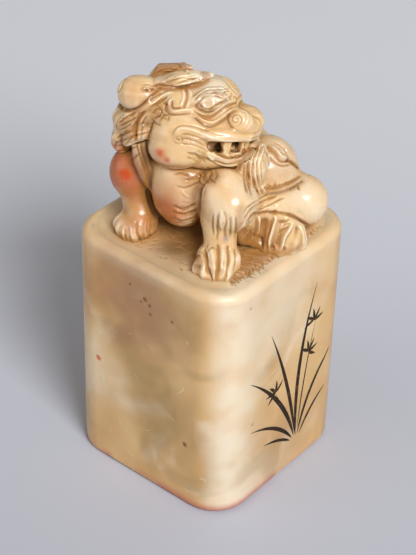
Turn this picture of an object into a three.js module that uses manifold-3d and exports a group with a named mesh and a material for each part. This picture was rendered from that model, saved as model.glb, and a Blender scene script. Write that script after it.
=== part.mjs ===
// A carved stone seal: a rounded square block with a crouching lion knob.
// Millimetres, +Z up. The seal stands on its sealing face, whose centre is the origin.
// The lion faces -Y, so +X is its left. Its head is turned to its left and tilted.
// The stone is one block in life. Each carved form is a solid of its own here,
// parted from its neighbours by a seam that follows the cut lines of the carving.
import * as THREE from "three";
import { mergeVertices } from "three/addons/utils/BufferGeometryUtils.js";
import Module from "manifold-3d";

const wasm = await Module();
wasm.setup();

// Block
const BLOCK_WIDTH = 26; // across X
const BLOCK_DEPTH = 26; // across Y
const BLOCK_HEIGHT = 34.7; // sealing face to the platform under the lion
const CORNER_RADIUS = 4.9; // upright edges
const SHOULDER_RADIUS = 1.9; // round-over of the platform's edge
const FOOT_ROUND = 0.35; // worn edge of the sealing face

// Sealing face: a raised border round four squared spirals
const FACE_PLATE = 2.4; // thickness of the carved layer
const RELIEF_DEPTH = 0.9; // how deep the ground of the face is cut
const BORDER_WIDTH = 1.2; // raised border
const FRET_LINE = 1.25; // raised line of a spiral
const FRET_GAP = 1.3; // cut channel beside each line

// Seam between two carved forms
const SEAM = 0.3;

// Lion's stance, from the middle of the platform
const STANCE_LEFT = 6.8; // left forepaw from the middle plane
const STANCE_RIGHT = 5.5; // right forepaw from the middle plane
const REACH_LEFT = 7.0; // left forepaw ahead of the middle
const REACH_RIGHT = 7.6; // right forepaw ahead of the middle
const SHOULDER_SPREAD = 4.7; // left shoulder from the middle plane
const SHOULDER_LIFT = 9.2; // left shoulder above the platform
const ELBOW_SPREAD = 7.6; // right elbow's round mass from the middle plane
const ELBOW_LIFT = 7.2;
const HIP_SPREAD = 4.6;
const HIP_BACK = 4.5;
const HIP_LIFT = 7.5;
const KNEE_SPREAD = 8.8; // folded thigh from the middle plane
const KNEE_LIFT = 4.5;
const HIND_PAW_SPREAD = 8.3;
const HIND_PAW_BACK = 2.6;
const BACK_LIFT = 6.6; // trunk's middle line above the platform
const BACK_HALF = 4.8; // half of the trunk's width
const RUMP_BACK = 8.4; // end of the trunk behind the middle
const CHEST_FORWARD = 5.0;
const CHEST_LIFT = 7.5;
const PAW_LIFT = 1.6; // middle of a forepaw above the platform
const FORETOE_REACH = 1.6; // middle of a toe from the middle of its paw
const FORETOE_FAN = 25; // degrees from one toe to the next
const HIND_PAW_TURN = 48; // degrees, middle toe forward of the side
const HIND_TOE_FAN = 28; // degrees from one arched hind toe to the next

// Radii of the round masses, across X, Y and Z
const SHOULDER_RADII = [3.2, 3.2, 3.5];
const ELBOW_RADII = [2.8, 2.8, 3.3];
const HAUNCH_RADII = [3.9, 4.2, 4.3];
const KNEE_RADII = [3.0, 3.0, 3.1];
const CHEST_RADII = [4.0, 3.6, 5.5];
const NECK_LEFT_RADII = [5.3, 4.9, 4.7];
const NECK_RIGHT_RADII = [4.3, 4.1, 3.9];
const NAPE_RADII = [4.8, 4.4, 4.6];
const FOREPAW_RADII = [2.5, 2.4, 1.9];
const FORETOE_RADII = [1.8, 0.95, 1.25];
const HIND_PAW_RADII = [3.0, 3.0, 2.9];

// Head's place and bearing
const HEAD_SIDE = -1.5; // head's centre from the middle plane
const HEAD_FORWARD = 3.0; // head's centre ahead of the middle
const HEAD_LIFT = 15.3; // head's centre above the platform
const HEAD_TURN = 28; // degrees past +X
const HEAD_TILT = 24; // degrees, the head's left side down

// Head's own sizes, from its centre: +X along the muzzle, +Y to its left
const NOSE_REACH = 8.9; // centre to the tip of the nose
const CROWN_HEIGHT = 5.4;
const SKULL_HALF = 4.6; // half of the skull's width
const EYE_FORWARD = 3.2;
const EYE_SPREAD = 3.5;
const EYE_HEIGHT = 2.95;
const EYE_RADII = [1.9, 1.0, 1.15];
const EYE_SLANT = 12; // degrees, outer corner up
const EYE_TURN = 24; // degrees, toward the nose
const CHEEK_SPREAD = 2.9;
const JAW_DROP = 3.9; // jaw's middle line below the centre
const MOUTH_DROP = 2.4; // mouth's middle line below the centre
const LIP_DROP = 0.7; // upper lip below the centre
const NAPE_REACH = 8.2; // centre back to the nape locks
const NAPE_HALF = 4.6; // nape locks from the head's middle plane
const NAPE_ROWS = [["upper", 0.9], ["lower", -1.7]]; // height of each row's roots
// Name, degrees round from the back at the root and at the tip, and lift of each lock in a row
const NAPE_LOCKS = [["middle", 0, 0, 0.4], ["left", 42, 14, 0], ["right", -42, -14, 0]];

// Facets around a form and along it, or along each span between a limb's stations
const MASS_FACETS = [12, 6];
const SMALL_FACETS = [9, 5];
const TOE_FACETS = [6, 4];
const LIMB_FACETS = [8, 2];
const LOCK_FACETS = [6, 1];
const CORNER_STEPS = 7;

const DEG = Math.PI / 180;
const SIDES = [["left", 1], ["right", -1]];

// Stone colours of the carving
const STONE = { cream: "#d9b98a", rose: "#c98d73", brown: "#a87b4a", cinnabar: "#b9503a" };

function stone(colour) {
  return new THREE.MeshStandardMaterial({ color: STONE[colour], roughness: 0.32, metalness: 0 });
}

// A closed geometry as a solid, moved by a matrix where one is given.
function solid(geometry, matrix) {
  const bare = geometry.index ? geometry.toNonIndexed() : geometry.clone();
  bare.deleteAttribute("normal");
  bare.deleteAttribute("uv");
  if (matrix) bare.applyMatrix4(matrix);
  const merged = mergeVertices(bare, 1e-4);
  const triVerts = new Uint32Array(merged.index.array);
  const vertProperties = merged.attributes.position.array;
  return new wasm.Manifold(new wasm.Mesh({ numProp: 3, vertProperties, triVerts }));
}

function join(...solids) {
  return solids.reduce((sum, next) => sum.add(next));
}

function cut(body, ...tools) {
  return tools.reduce((left, tool) => left.subtract(tool), body);
}

// The largest body of a cut, without the chips that fall off.
function main(body) {
  const bodies = body.decompose();
  return bodies.reduce((best, next) => (next.volume() > best.volume() ? next : best));
}

function geometryOf(body) {
  const mesh = body.getMesh();
  const geometry = new THREE.BufferGeometry();
  geometry.setAttribute("position", new THREE.BufferAttribute(mesh.vertProperties, 3));
  geometry.setIndex(new THREE.BufferAttribute(mesh.triVerts, 1));
  geometry.computeVertexNormals();
  return geometry;
}

// A place and a turn in degrees, as a matrix.
function placed(at, turn = [0, 0, 0]) {
  const euler = new THREE.Euler(turn[0] * DEG, turn[1] * DEG, turn[2] * DEG, "ZYX");
  const quaternion = new THREE.Quaternion().setFromEuler(euler);
  return new THREE.Matrix4().compose(new THREE.Vector3(...at), quaternion, new THREE.Vector3(1, 1, 1));
}

// Rings of equal count, closed at both ends by a pole.
function loft(rings, firstPole, lastPole) {
  const count = rings[0].length;
  const points = [firstPole, ...rings.flat(), lastPole];
  const faces = [];
  const at = (ring, side) => 1 + ring * count + (side % count);
  const last = points.length - 1;
  for (let side = 0; side < count; side++) {
    faces.push(0, at(0, side + 1), at(0, side));
    faces.push(last, at(rings.length - 1, side), at(rings.length - 1, side + 1));
    for (let ring = 0; ring + 1 < rings.length; ring++) {
      faces.push(at(ring, side), at(ring, side + 1), at(ring + 1, side));
      faces.push(at(ring + 1, side), at(ring, side + 1), at(ring + 1, side + 1));
    }
  }
  const geometry = new THREE.BufferGeometry().setFromPoints(points);
  geometry.setIndex(faces);
  return geometry;
}

// A form is a function of how far its skin is grown outwards.
// An egg-shaped mass.
function egg(at, radii, facets = MASS_FACETS, turn = [0, 0, 0]) {
  return (grow) => {
    const shape = new THREE.SphereGeometry(1, ...facets);
    shape.rotateX(Math.PI / 2);
    shape.scale(...radii.map((radius) => radius + grow));
    return shape.applyMatrix4(placed(at, turn));
  };
}

// A round-ended limb through stations of x, y, z, half width and half thickness.
// The thickness lies along up as nearly as the limb's line allows.
function limb(stations, up = [0, 0, 1], [sides, ringsPerSpan] = LIMB_FACETS) {
  const line = new THREE.CatmullRomCurve3(stations.map(([x, y, z]) => new THREE.Vector3(x, y, z)));
  const spans = stations.length - 1;
  const upward = new THREE.Vector3(...up);
  const ring = (centre, tangent, half, thick) => {
    const across = new THREE.Vector3().crossVectors(upward, tangent).normalize();
    const over = new THREE.Vector3().crossVectors(tangent, across).normalize();
    return Array.from({ length: sides }, (_, side) => {
      const angle = (side / sides) * 2 * Math.PI;
      const point = centre.clone().addScaledVector(across, half * Math.cos(angle));
      return point.addScaledVector(over, thick * Math.sin(angle));
    });
  };
  const sizeAt = (t, grow) => {
    const span = Math.min(Math.floor(t * spans), spans - 1);
    const blend = THREE.MathUtils.smoothstep(t * spans - span, 0, 1);
    const mix = (k) => THREE.MathUtils.lerp(stations[span][k], stations[span + 1][k], blend) + grow;
    return [mix(3), mix(4)];
  };
  const cap = (t, sense, grow) => {
    const centre = line.getPoint(t);
    const tangent = line.getTangent(t);
    const [half, thick] = sizeAt(t, grow);
    const reach = sense * Math.min(half, thick);
    const slices = (ringsPerSpan > 1 ? [35, 65] : [50]).map((tilt) => {
      const moved = centre.clone().addScaledVector(tangent, reach * Math.sin(tilt * DEG));
      return ring(moved, tangent, half * Math.cos(tilt * DEG), thick * Math.cos(tilt * DEG));
    });
    return { slices, pole: centre.clone().addScaledVector(tangent, reach) };
  };
  return (grow) => {
    const start = cap(0, -1, grow);
    const end = cap(1, 1, grow);
    const steps = spans * ringsPerSpan;
    const middle = Array.from({ length: steps + 1 }, (_, step) => {
      const t = step / steps;
      return ring(line.getPoint(t), line.getTangent(t), ...sizeAt(t, grow));
    });
    return loft([...start.slices.reverse(), ...middle, ...end.slices], start.pole, end.pole);
  };
}

// A limb that runs round the front of the head: stations of one side, mirrored to the other.
function bow(stations) {
  const mirrored = stations.slice(0, -1).reverse().map(([x, y, z, half, thick]) => [x, -y, z, half, thick]);
  return limb([...stations, ...mirrored], [0, 0, 1], LOCK_FACETS);
}

// The block's rounded square, drawn in by an inset, at one height.
function blockOutline(inset, z) {
  const radius = CORNER_RADIUS - inset;
  const x = BLOCK_WIDTH / 2 - CORNER_RADIUS;
  const y = BLOCK_DEPTH / 2 - CORNER_RADIUS;
  const corners = [[x, -y, -90], [x, y, 0], [-x, y, 90], [-x, -y, 180]];
  return corners.flatMap(([cx, cy, from]) =>
    Array.from({ length: CORNER_STEPS }, (_, step) => {
      const angle = (from + (90 * step) / (CORNER_STEPS - 1)) * DEG;
      return new THREE.Vector3(cx + radius * Math.cos(angle), cy + radius * Math.sin(angle), z);
    }),
  );
}

// A stack of block outlines, each an inset and a height, closed flat at both ends.
function blockStack(levels) {
  const rings = levels.map(([inset, z]) => blockOutline(inset, z));
  const low = new THREE.Vector3(0, 0, levels[0][1]);
  const high = new THREE.Vector3(0, 0, levels[levels.length - 1][1]);
  return solid(loft(rings, low, high));
}

// The shaft above the carved layer, with its platform edge rounded over.
function sealBlock() {
  const rim = BLOCK_HEIGHT - SHOULDER_RADIUS;
  const roundOver = [15, 30, 45, 60, 75, 90].map((tilt) => [
    SHOULDER_RADIUS * (1 - Math.cos(tilt * DEG)),
    rim + SHOULDER_RADIUS * Math.sin(tilt * DEG),
  ]);
  return blockStack([[0, FACE_PLATE], [0, rim], ...roundOver]);
}

// A squared spiral that winds inwards from the corner at the origin, as a flat shape.
// Its first two runs are whole, and each later pair is shorter by a line and a gap.
function fretShape(size) {
  const half = FRET_LINE / 2;
  const outer = [new THREE.Vector2(0, 0)];
  const inner = [new THREE.Vector2(0, FRET_LINE)];
  const heading = new THREE.Vector2(1, 0);
  const at = new THREE.Vector2(0, half);
  const runOf = (arm) => size - FRET_LINE - Math.floor((arm - 1) / 2) * (FRET_LINE + FRET_GAP);
  for (let arm = 0, run = size - half; run > FRET_LINE; arm++, run = runOf(arm)) {
    const left = new THREE.Vector2(-heading.y, heading.x);
    const corner = runOf(arm + 1) > FRET_LINE ? half : 0;
    at.addScaledVector(heading, run);
    outer.push(at.clone().addScaledVector(heading, corner).addScaledVector(left, -half));
    inner.push(at.clone().addScaledVector(heading, -corner).addScaledVector(left, half));
    heading.copy(left);
  }
  return new THREE.Shape([...outer, ...inner.reverse()]);
}

// The carved layer: a backing, a raised border and four squared spirals.
function sealingFace() {
  const backing = blockStack([[0, RELIEF_DEPTH], [0, FACE_PLATE]]);
  const rim = blockStack([[FOOT_ROUND, 0], [0, FOOT_ROUND], [0, RELIEF_DEPTH + SEAM]]);
  const well = blockStack([[BORDER_WIDTH, -RELIEF_DEPTH], [BORDER_WIDTH, FACE_PLATE]]);
  const free = Math.min(BLOCK_WIDTH, BLOCK_DEPTH) / 2 - BORDER_WIDTH - 1.5 * FRET_GAP;
  const depth = RELIEF_DEPTH + SEAM;
  const raised = new THREE.ExtrudeGeometry(fretShape(free), { depth, bevelEnabled: false });
  raised.translate(FRET_GAP / 2, FRET_GAP / 2, 0);
  const frets = [0, 90, 180, 270].map((turn) => solid(raised, placed([0, 0, 0], [0, 0, turn])));
  return join(backing, cut(rim, well), ...frets);
}

// Everything below the platform, to trim what stands on it.
function belowPlatform() {
  const depth = BLOCK_HEIGHT;
  const slab = new THREE.BoxGeometry(2 * BLOCK_WIDTH, 2 * BLOCK_DEPTH, depth);
  return solid(slab, placed([0, 0, -depth / 2]));
}

// A forepaw: a pad and four toes fanned about the way it points, in degrees from +X.
function forePaw(x, y, pointing) {
  const toes = [-1.5, -0.5, 0.5, 1.5].map((place) => {
    const turn = pointing + place * FORETOE_FAN;
    const ahead = [FORETOE_REACH * Math.cos(turn * DEG), FORETOE_REACH * Math.sin(turn * DEG)];
    return egg([x + ahead[0], y + ahead[1], FORETOE_RADII[2]], FORETOE_RADII, TOE_FACETS, [0, 0, turn]);
  });
  return [egg([x, y, PAW_LIFT], FOREPAW_RADII, SMALL_FACETS), ...toes];
}

// A hind paw: a round pad under the folded thigh, and arched toes that fan out over it.
function hindPaw(side) {
  const at = [side * HIND_PAW_SPREAD, HIND_PAW_BACK];
  const toes = [-2, -1, 0, 1, 2].map((place) => {
    const turn = (place * HIND_TOE_FAN - HIND_PAW_TURN) * DEG;
    const heading = [side * Math.cos(turn), Math.sin(turn)];
    const spot = (reach, z, half) => [at[0] + reach * heading[0], at[1] + reach * heading[1], z, half, half];
    const arch = [spot(0.6, 4.4, 0.5), spot(2.2, 3.6, 0.7), spot(3.2, 2.0, 0.75), spot(3.6, 0.7, 0.7)];
    return limb(arch, [...heading, 1], LOCK_FACETS);
  });
  return [egg([...at, 2.3], HIND_PAW_RADII, SMALL_FACETS), ...toes];
}

// The left foreleg: a round shoulder and a forearm that narrows to the wrist.
function leftForeleg() {
  const shoulder = egg([SHOULDER_SPREAD + 0.4, -4.5, SHOULDER_LIFT - 0.6], SHOULDER_RADII);
  const forearm = [
    [SHOULDER_SPREAD + 0.7, -5.3, SHOULDER_LIFT - 3.0, 2.5, 2.5],
    [STANCE_LEFT - 0.8, 1.0 - REACH_LEFT, 4.1, 1.85, 1.85],
    [STANCE_LEFT - 0.3, 0.6 - REACH_LEFT, 2.3, 1.9, 1.8],
  ];
  return [shoulder, limb(forearm, [0, -1, 0])];
}

// The right foreleg: a bunched elbow mass, and the shin below it.
function rightForeleg() {
  const elbow = egg([-ELBOW_SPREAD, -6.4, ELBOW_LIFT], ELBOW_RADII);
  const shin = [
    [0.6 - ELBOW_SPREAD, -6.6, ELBOW_LIFT - 1.6, 1.8, 1.8],
    [-STANCE_RIGHT - 0.9, 0.7 - REACH_RIGHT, 3.8, 1.7, 1.7],
    [-STANCE_RIGHT - 0.2, 0.4 - REACH_RIGHT, 2.3, 1.9, 1.8],
  ];
  return [elbow, limb(shin, [0, -1, 0])];
}

function haunch(side) {
  return [egg([side * HIP_SPREAD, HIP_BACK, HIP_LIFT], HAUNCH_RADII)];
}

// The folded thigh: a round mass behind, and a tapering band forward over the paw.
function thigh(side) {
  const knee = egg([side * (KNEE_SPREAD + 0.2), HIP_BACK + 1.8, KNEE_LIFT - 0.5], KNEE_RADII);
  const band = [
    [side * (KNEE_SPREAD - 1.5), HIP_BACK - 6.0, KNEE_LIFT + 0.6, 1.1, 1.2],
    [side * (KNEE_SPREAD - 0.5), HIP_BACK - 2.4, KNEE_LIFT + 0.7, 1.9, 1.9],
    [side * KNEE_SPREAD, HIP_BACK + 0.6, KNEE_LIFT, 2.4, 2.5],
  ];
  return [knee, limb(band)];
}

function torso() {
  const stations = [
    [-0.4, -2.6, BACK_LIFT + 0.6, BACK_HALF - 0.4, 4.6],
    [0, 1.5, BACK_LIFT, BACK_HALF, 4.9],
    [0, 6.0, BACK_LIFT - 0.4, BACK_HALF - 0.2, 4.8],
    [0, RUMP_BACK, BACK_LIFT - 1.6, BACK_HALF - 1.2, 3.8],
  ];
  return [limb(stations)];
}

function chest() {
  return [egg([-0.8, -CHEST_FORWARD, CHEST_LIFT], CHEST_RADII)];
}

// Middles of the neck's left mass, under the collar locks, and of the nape, under the back locks.
const NECK_LEFT = [1.9, -0.8, HEAD_LIFT - 4.9];
const NAPE = [-1.0, 1.6, HEAD_LIFT - 5.2];

// The point of an egg-shaped mass at a longitude from +X and a latitude, in degrees.
function onMass([x, y, z], [rx, ry, rz], longitude, latitude) {
  const level = Math.cos(latitude * DEG);
  return [
    x + rx * level * Math.cos(longitude * DEG),
    y + ry * level * Math.sin(longitude * DEG),
    z + rz * Math.sin(latitude * DEG),
  ];
}

function neck() {
  const right = egg([-4.8, -3.4, HEAD_LIFT - 4.6], NECK_RIGHT_RADII);
  return [egg(NECK_LEFT, NECK_LEFT_RADII), right, egg(NAPE, NAPE_RADII)];
}

// Long locks that hang side by side down the left of the neck.
function collarLocks() {
  return [-26, -15, -4, 7, 18, 29].map((longitude) => {
    const spot = (latitude) => [...onMass(NECK_LEFT, NECK_LEFT_RADII, longitude, latitude), 0.6, 0.55];
    return limb([28, 4, -20, -44].map(spot), [1, 0, 0], LOCK_FACETS);
  });
}

// The lock that falls from the temple, between the cheek and the right elbow, to the chest.
function rightManeLock() {
  const stations = [
    [-4.5, -6.8, HEAD_LIFT + 2.5, 0.9, 0.9],
    [-4.9, -7.4, HEAD_LIFT + 0.3, 1.1, 1.1],
    [-5.2, -7.6, HEAD_LIFT - 2.4, 1.1, 1.1],
    [-4.7, -7.8, HEAD_LIFT - 4.9, 0.9, 1.0],
    [-4.1, -7.7, CHEST_LIFT + 1.1, 0.6, 0.8],
    [-3.7, -7.4, CHEST_LIFT - 0.5, 0.35, 0.45],
  ];
  return [limb(stations, [0, -1, 0], LOCK_FACETS)];
}

// Pointed locks that lie over the nape and end on the back.
function backLock(longitude) {
  const spot = (latitude, half, thick) => [...onMass(NAPE, NAPE_RADII, longitude, latitude), half, thick];
  const outward = [Math.cos(longitude * DEG), Math.sin(longitude * DEG), 0.5];
  const stations = [spot(48, 1.2, 0.8), spot(22, 1.5, 0.9), spot(0, 1.1, 0.7), spot(-18, 0.4, 0.4)];
  return [limb(stations, outward, LOCK_FACETS)];
}

// A row of low knuckles along the back.
function spineRidge() {
  return [0, 1, 2, 3].map((step) => {
    const at = [0, 4.2 + 1.3 * step, BACK_LIFT + 4.5 - 0.12 * step * step];
    return egg(at, [1.0, 0.85, 0.8], TOE_FACETS);
  });
}

// The tail: a flame-shaped lock up the rump, with a shorter one curling away on each side.
function tail() {
  const stations = [
    [0, RUMP_BACK + 2.4, 1.4, 1.3, 1.1],
    [0.3, RUMP_BACK + 2.9, 4.0, 1.5, 1.1],
    [-0.2, RUMP_BACK + 2.3, 6.4, 2.0, 1.1],
    [0, RUMP_BACK + 1.2, 8.6, 1.7, 0.9],
    [0.3, RUMP_BACK, 10.0, 0.4, 0.4],
  ];
  return [limb(stations, [0, 1, 0.4])];
}

function tailCurl(side) {
  const stations = [
    [side * 1.3, RUMP_BACK + 2.5, 2.0, 0.8, 0.8],
    [side * 2.5, RUMP_BACK + 2.2, 4.2, 1.2, 0.9],
    [side * 3.5, RUMP_BACK + 1.1, 6.4, 1.1, 0.8],
    [side * 3.3, RUMP_BACK, 8.3, 0.35, 0.35],
  ];
  return [limb(stations, [0, 1, 0.4], LOCK_FACETS)];
}

function ground() {
  return [egg([0, 0.6, 0], [7.2, 9.0, 0.9])];
}

// Head forms, in the head's own frame
function cranium() {
  const skull = egg([-0.9, 0, CROWN_HEIGHT - 4.3], [5.6, SKULL_HALF, 4.3]);
  const forehead = egg([2.7, 0, CROWN_HEIGHT - 3.1], [3.4, SKULL_HALF - 0.5, 3.4]);
  return [skull, forehead];
}

function muzzle() {
  const stations = [
    [NOSE_REACH - 7.0, 0, 0, 4.5, 2.0],
    [NOSE_REACH - 3.8, 0, 0, 3.8, 2.0],
    [NOSE_REACH - 2.2, 0, 0.1, 3.1, 1.9],
  ];
  return [limb(stations)];
}

function nose() {
  return [egg([NOSE_REACH - 2.4, 0, 0.75], [2.4, 2.5, 1.9])];
}

function nostril(side) {
  return [egg([NOSE_REACH - 2.7, side * 2.4, 0.85], [1.8, 1.3, 1.5])];
}

function upperLip() {
  return [
    bow([
      [NOSE_REACH - 9.0, -5.3, -LIP_DROP - 0.4, 0.5, 0.5],
      [NOSE_REACH - 6.0, -4.6, -LIP_DROP - 0.3, 0.6, 0.6],
      [NOSE_REACH - 3.4, -3.5, -LIP_DROP, 0.65, 0.6],
      [NOSE_REACH - 1.4, -2.0, -LIP_DROP, 0.65, 0.6],
      [NOSE_REACH - 0.8, 0, -LIP_DROP, 0.65, 0.6],
    ]),
  ];
}

function lowerLip() {
  return [
    bow([
      [NOSE_REACH - 6.2, -3.3, 0.9 - JAW_DROP, 0.55, 0.5],
      [NOSE_REACH - 3.6, -2.9, 0.4 - JAW_DROP, 0.6, 0.5],
      [NOSE_REACH - 1.7, -1.7, 0.7 - JAW_DROP, 0.6, 0.5],
      [NOSE_REACH - 1.1, 0, 0.9 - JAW_DROP, 0.6, 0.5],
    ]),
  ];
}

function lowerJaw() {
  const stations = [
    [0.4, 0, -JAW_DROP, 3.3, 1.5],
    [NOSE_REACH - 5.5, 0, -JAW_DROP - 0.2, 3.1, 1.3],
    [NOSE_REACH - 2.5, 0, -JAW_DROP, 2.4, 1.1],
  ];
  return [limb(stations)];
}

// A tooth between the lips: how far it stands behind the nose and out from the middle plane.
function tooth(side, behind, spread, half) {
  const stations = [
    [NOSE_REACH - behind, side * spread, -LIP_DROP, half, half],
    [NOSE_REACH - behind - 0.3, side * (spread - 0.1), 0.6 - JAW_DROP, 0.8 * half, 0.8 * half],
  ];
  return [limb(stations, [1, 0, 0], LOCK_FACETS)];
}

function fang(side) {
  return tooth(side, 3.7, 2.7, 0.65);
}

function incisor(side) {
  return tooth(side, 1.9, 1.2, 0.6);
}

function tongue() {
  const stations = [
    [NOSE_REACH - 6.6, 0, -MOUTH_DROP - 0.9, 1.5, 0.45],
    [NOSE_REACH - 4.0, 0, -MOUTH_DROP - 0.6, 1.4, 0.45],
    [NOSE_REACH - 2.3, 0, -MOUTH_DROP, 0.8, 0.4],
  ];
  return [limb(stations, [0, 0, 1], LOCK_FACETS)];
}

function mouthHollow() {
  return egg([NOSE_REACH - 2.8, 0, -MOUTH_DROP], [3.3, 4.5, 1.2])(0);
}

function cheek(side) {
  const upper = egg([0, side * CHEEK_SPREAD, 2.6 - JAW_DROP], [4.0, 2.7, 2.9]);
  const lobe = egg([-0.8, side * CHEEK_SPREAD, 0.8 - JAW_DROP], [3.3, 2.4, 2.3]);
  return [upper, lobe];
}

function eye(side) {
  const at = [EYE_FORWARD, side * EYE_SPREAD, EYE_HEIGHT];
  return [egg(at, EYE_RADII, SMALL_FACETS, [0, -EYE_SLANT, -side * EYE_TURN])];
}

// A brow over the eye, which ends in a curl beside the nose.
function brow(side) {
  const stations = [
    [EYE_FORWARD - 2.2, side * (EYE_SPREAD + 0.3), EYE_HEIGHT - 0.2, 0.45, 0.45],
    [EYE_FORWARD - 0.8, side * (EYE_SPREAD - 0.1), EYE_HEIGHT + 1.1, 0.5, 0.5],
    [EYE_FORWARD + 0.6, side * (EYE_SPREAD - 0.6), EYE_HEIGHT + 1.3, 0.5, 0.5],
    [EYE_FORWARD + 1.6, side * (EYE_SPREAD - 1.4), EYE_HEIGHT + 0.8, 0.5, 0.5],
    [EYE_FORWARD + 2.0, side * (EYE_SPREAD - 2.2), EYE_HEIGHT, 0.5, 0.5],
  ];
  const inner = [EYE_FORWARD + 1.9, side * (EYE_SPREAD - 2.0), EYE_HEIGHT - 0.4];
  return [limb(stations, [0, side, 0.6], LOCK_FACETS), egg(inner, [0.9, 0.8, 0.9], TOE_FACETS)];
}

// A leaf-shaped ear laid along the skull. The left one lies further back.
function ear(side) {
  const back = side > 0 ? 3.2 : 0;
  const stations = [
    [-3.6 - back / 2, side * 2.9, CROWN_HEIGHT - 1.2, 0.8, 0.8],
    [-1.2 - back, side * 2.9, CROWN_HEIGHT - 0.2, 1.2, 0.8],
    [0.8 - back, side * 2.5, CROWN_HEIGHT + 0.3, 0.9, 0.6],
    [2.2 - back, side * 2.0, CROWN_HEIGHT + 0.6, 0.35, 0.3],
  ];
  return [limb(stations, [0, side * 0.5, 1], LOCK_FACETS)];
}

// The mane's round knots behind the ears. The right one is the larger.
function maneKnot(side) {
  if (side > 0) return [egg([-5.7, 2.3, CROWN_HEIGHT - 3.2], [2.7, 2.1, 2.2])];
  return [egg([-5.7, -2.9, CROWN_HEIGHT - 2.6], [2.7, 2.2, 2.2])];
}

// One pointed lock of the nape, from an angle round from the back to another, and the height of its root.
function napeLock(from, to, root) {
  const spot = (share, drop, reach, half, thick) => {
    const angle = THREE.MathUtils.lerp(from, to, share) * DEG;
    return [-(NAPE_REACH + reach) * Math.cos(angle), NAPE_HALF * Math.sin(angle), root - drop, half, thick];
  };
  const stations = [
    spot(0, 0, -3.6, 0.9, 0.9),
    spot(0.3, 0.8, -0.5, 1.4, 1.1),
    spot(0.7, 1.9, 0.1, 1.3, 0.9),
    spot(1, 2.9, 0.2, 0.4, 0.4),
  ];
  return [limb(stations, [-1, 0.3 * Math.sign(from), 0.3], LOCK_FACETS)];
}

function piece(name, colour, forms, trims = []) {
  return { name, colour, forms, trims };
}

// One piece on each side, by a function of the side.
function pair(word, colour, make, trims) {
  return SIDES.map(([hand, side]) => piece(`${hand}_${word}`, colour, make(side), trims));
}

function carve(forms, grow, place) {
  return join(...forms.map((form) => solid(form(grow), place)));
}

// Adds the pieces to a group in order of rank: each gives way, by the seam, to all before it.
function addCarved(group, pieces, earlier) {
  const taken = [...earlier];
  for (const { name, colour, forms, trims } of pieces) {
    const body = main(cut(carve(forms, 0), ...trims, ...taken));
    const mesh = new THREE.Mesh(geometryOf(body), stone(colour));
    mesh.name = name;
    group.add(mesh);
    taken.push(carve(forms, SEAM));
  }
}

const mouth = [solid(mouthHollow())];
const headPieces = [
  piece("cranium", "cream", cranium(), mouth),
  ...pair("cheek", "cream", cheek, mouth),
  piece("muzzle", "cream", muzzle(), mouth),
  piece("lower_jaw", "cream", lowerJaw(), mouth),
  piece("upper_lip", "cream", upperLip()),
  piece("lower_lip", "cream", lowerLip()),
  piece("nose", "cream", nose()),
  ...pair("nostril", "cream", nostril),
  ...pair("fang", "cream", fang),
  ...pair("incisor", "cream", incisor),
  piece("tongue", "rose", tongue()),
  ...pair("eye", "cream", eye),
  ...pair("brow", "cream", brow),
  ...pair("mane_knot", "cream", maneKnot),
  ...pair("ear", "brown", ear),
  ...NAPE_ROWS.flatMap(([row, root]) =>
    NAPE_LOCKS.map(([place, from, to, lift]) =>
      piece(`${row}_nape_lock_${place}`, "cream", napeLock(from, to, root + lift)),
    ),
  ),
];

const floor = [belowPlatform()];
const lionPieces = [
  piece("torso", "cream", torso(), floor),
  ...pair("haunch", "cream", haunch, floor),
  piece("chest", "rose", chest(), floor),
  piece("neck", "cream", neck()),
  piece("left_foreleg", "cream", leftForeleg(), floor),
  piece("right_foreleg", "rose", rightForeleg(), floor),
  ...pair("thigh", "cream", thigh, floor),
  piece("left_forepaw", "cream", forePaw(STANCE_LEFT, -REACH_LEFT, -72), floor),
  piece("right_forepaw", "cream", forePaw(-STANCE_RIGHT, -REACH_RIGHT, -98), floor),
  ...pair("hind_paw", "cream", hindPaw, floor),
  piece("collar_locks", "cream", collarLocks()),
  piece("right_mane_lock", "cream", rightManeLock()),
  ...[30, 66, 102, 138].map((turn, index) => piece(`back_lock_${index + 1}`, "cream", backLock(turn))),
  piece("tail", "cream", tail(), floor),
  ...pair("tail_curl", "cream", tailCurl),
  piece("spine_ridge", "cream", spineRidge()),
  piece("ground", "brown", ground(), floor),
];

const seal = new THREE.Group();
for (const [name, colour, body] of [
  ["seal_block", "cream", sealBlock()],
  ["sealing_face", "cinnabar", sealingFace()],
]) {
  const mesh = new THREE.Mesh(geometryOf(body), stone(colour));
  mesh.name = name;
  seal.add(mesh);
}

const lion = new THREE.Group();
lion.position.z = BLOCK_HEIGHT;
seal.add(lion);

const head = new THREE.Group();
head.position.set(HEAD_SIDE, -HEAD_FORWARD, HEAD_LIFT);
head.rotation.set(-HEAD_TILT * DEG, 0, HEAD_TURN * DEG, "ZYX");
head.updateMatrix();
lion.add(head);

addCarved(head, headPieces, []);
addCarved(lion, lionPieces, headPieces.map(({ forms }) => carve(forms, SEAM, head.matrix)));

export default seal;
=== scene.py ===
"""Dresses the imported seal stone: a polished soapstone block under a carved lion, on a plain stage."""

import math

import bpy
import numpy as np
from bpy.props import FloatProperty, FloatVectorProperty, IntProperty, PointerProperty
from mathutils import Euler, Matrix, Vector
from mathutils.bvhtree import BVHTree


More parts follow.
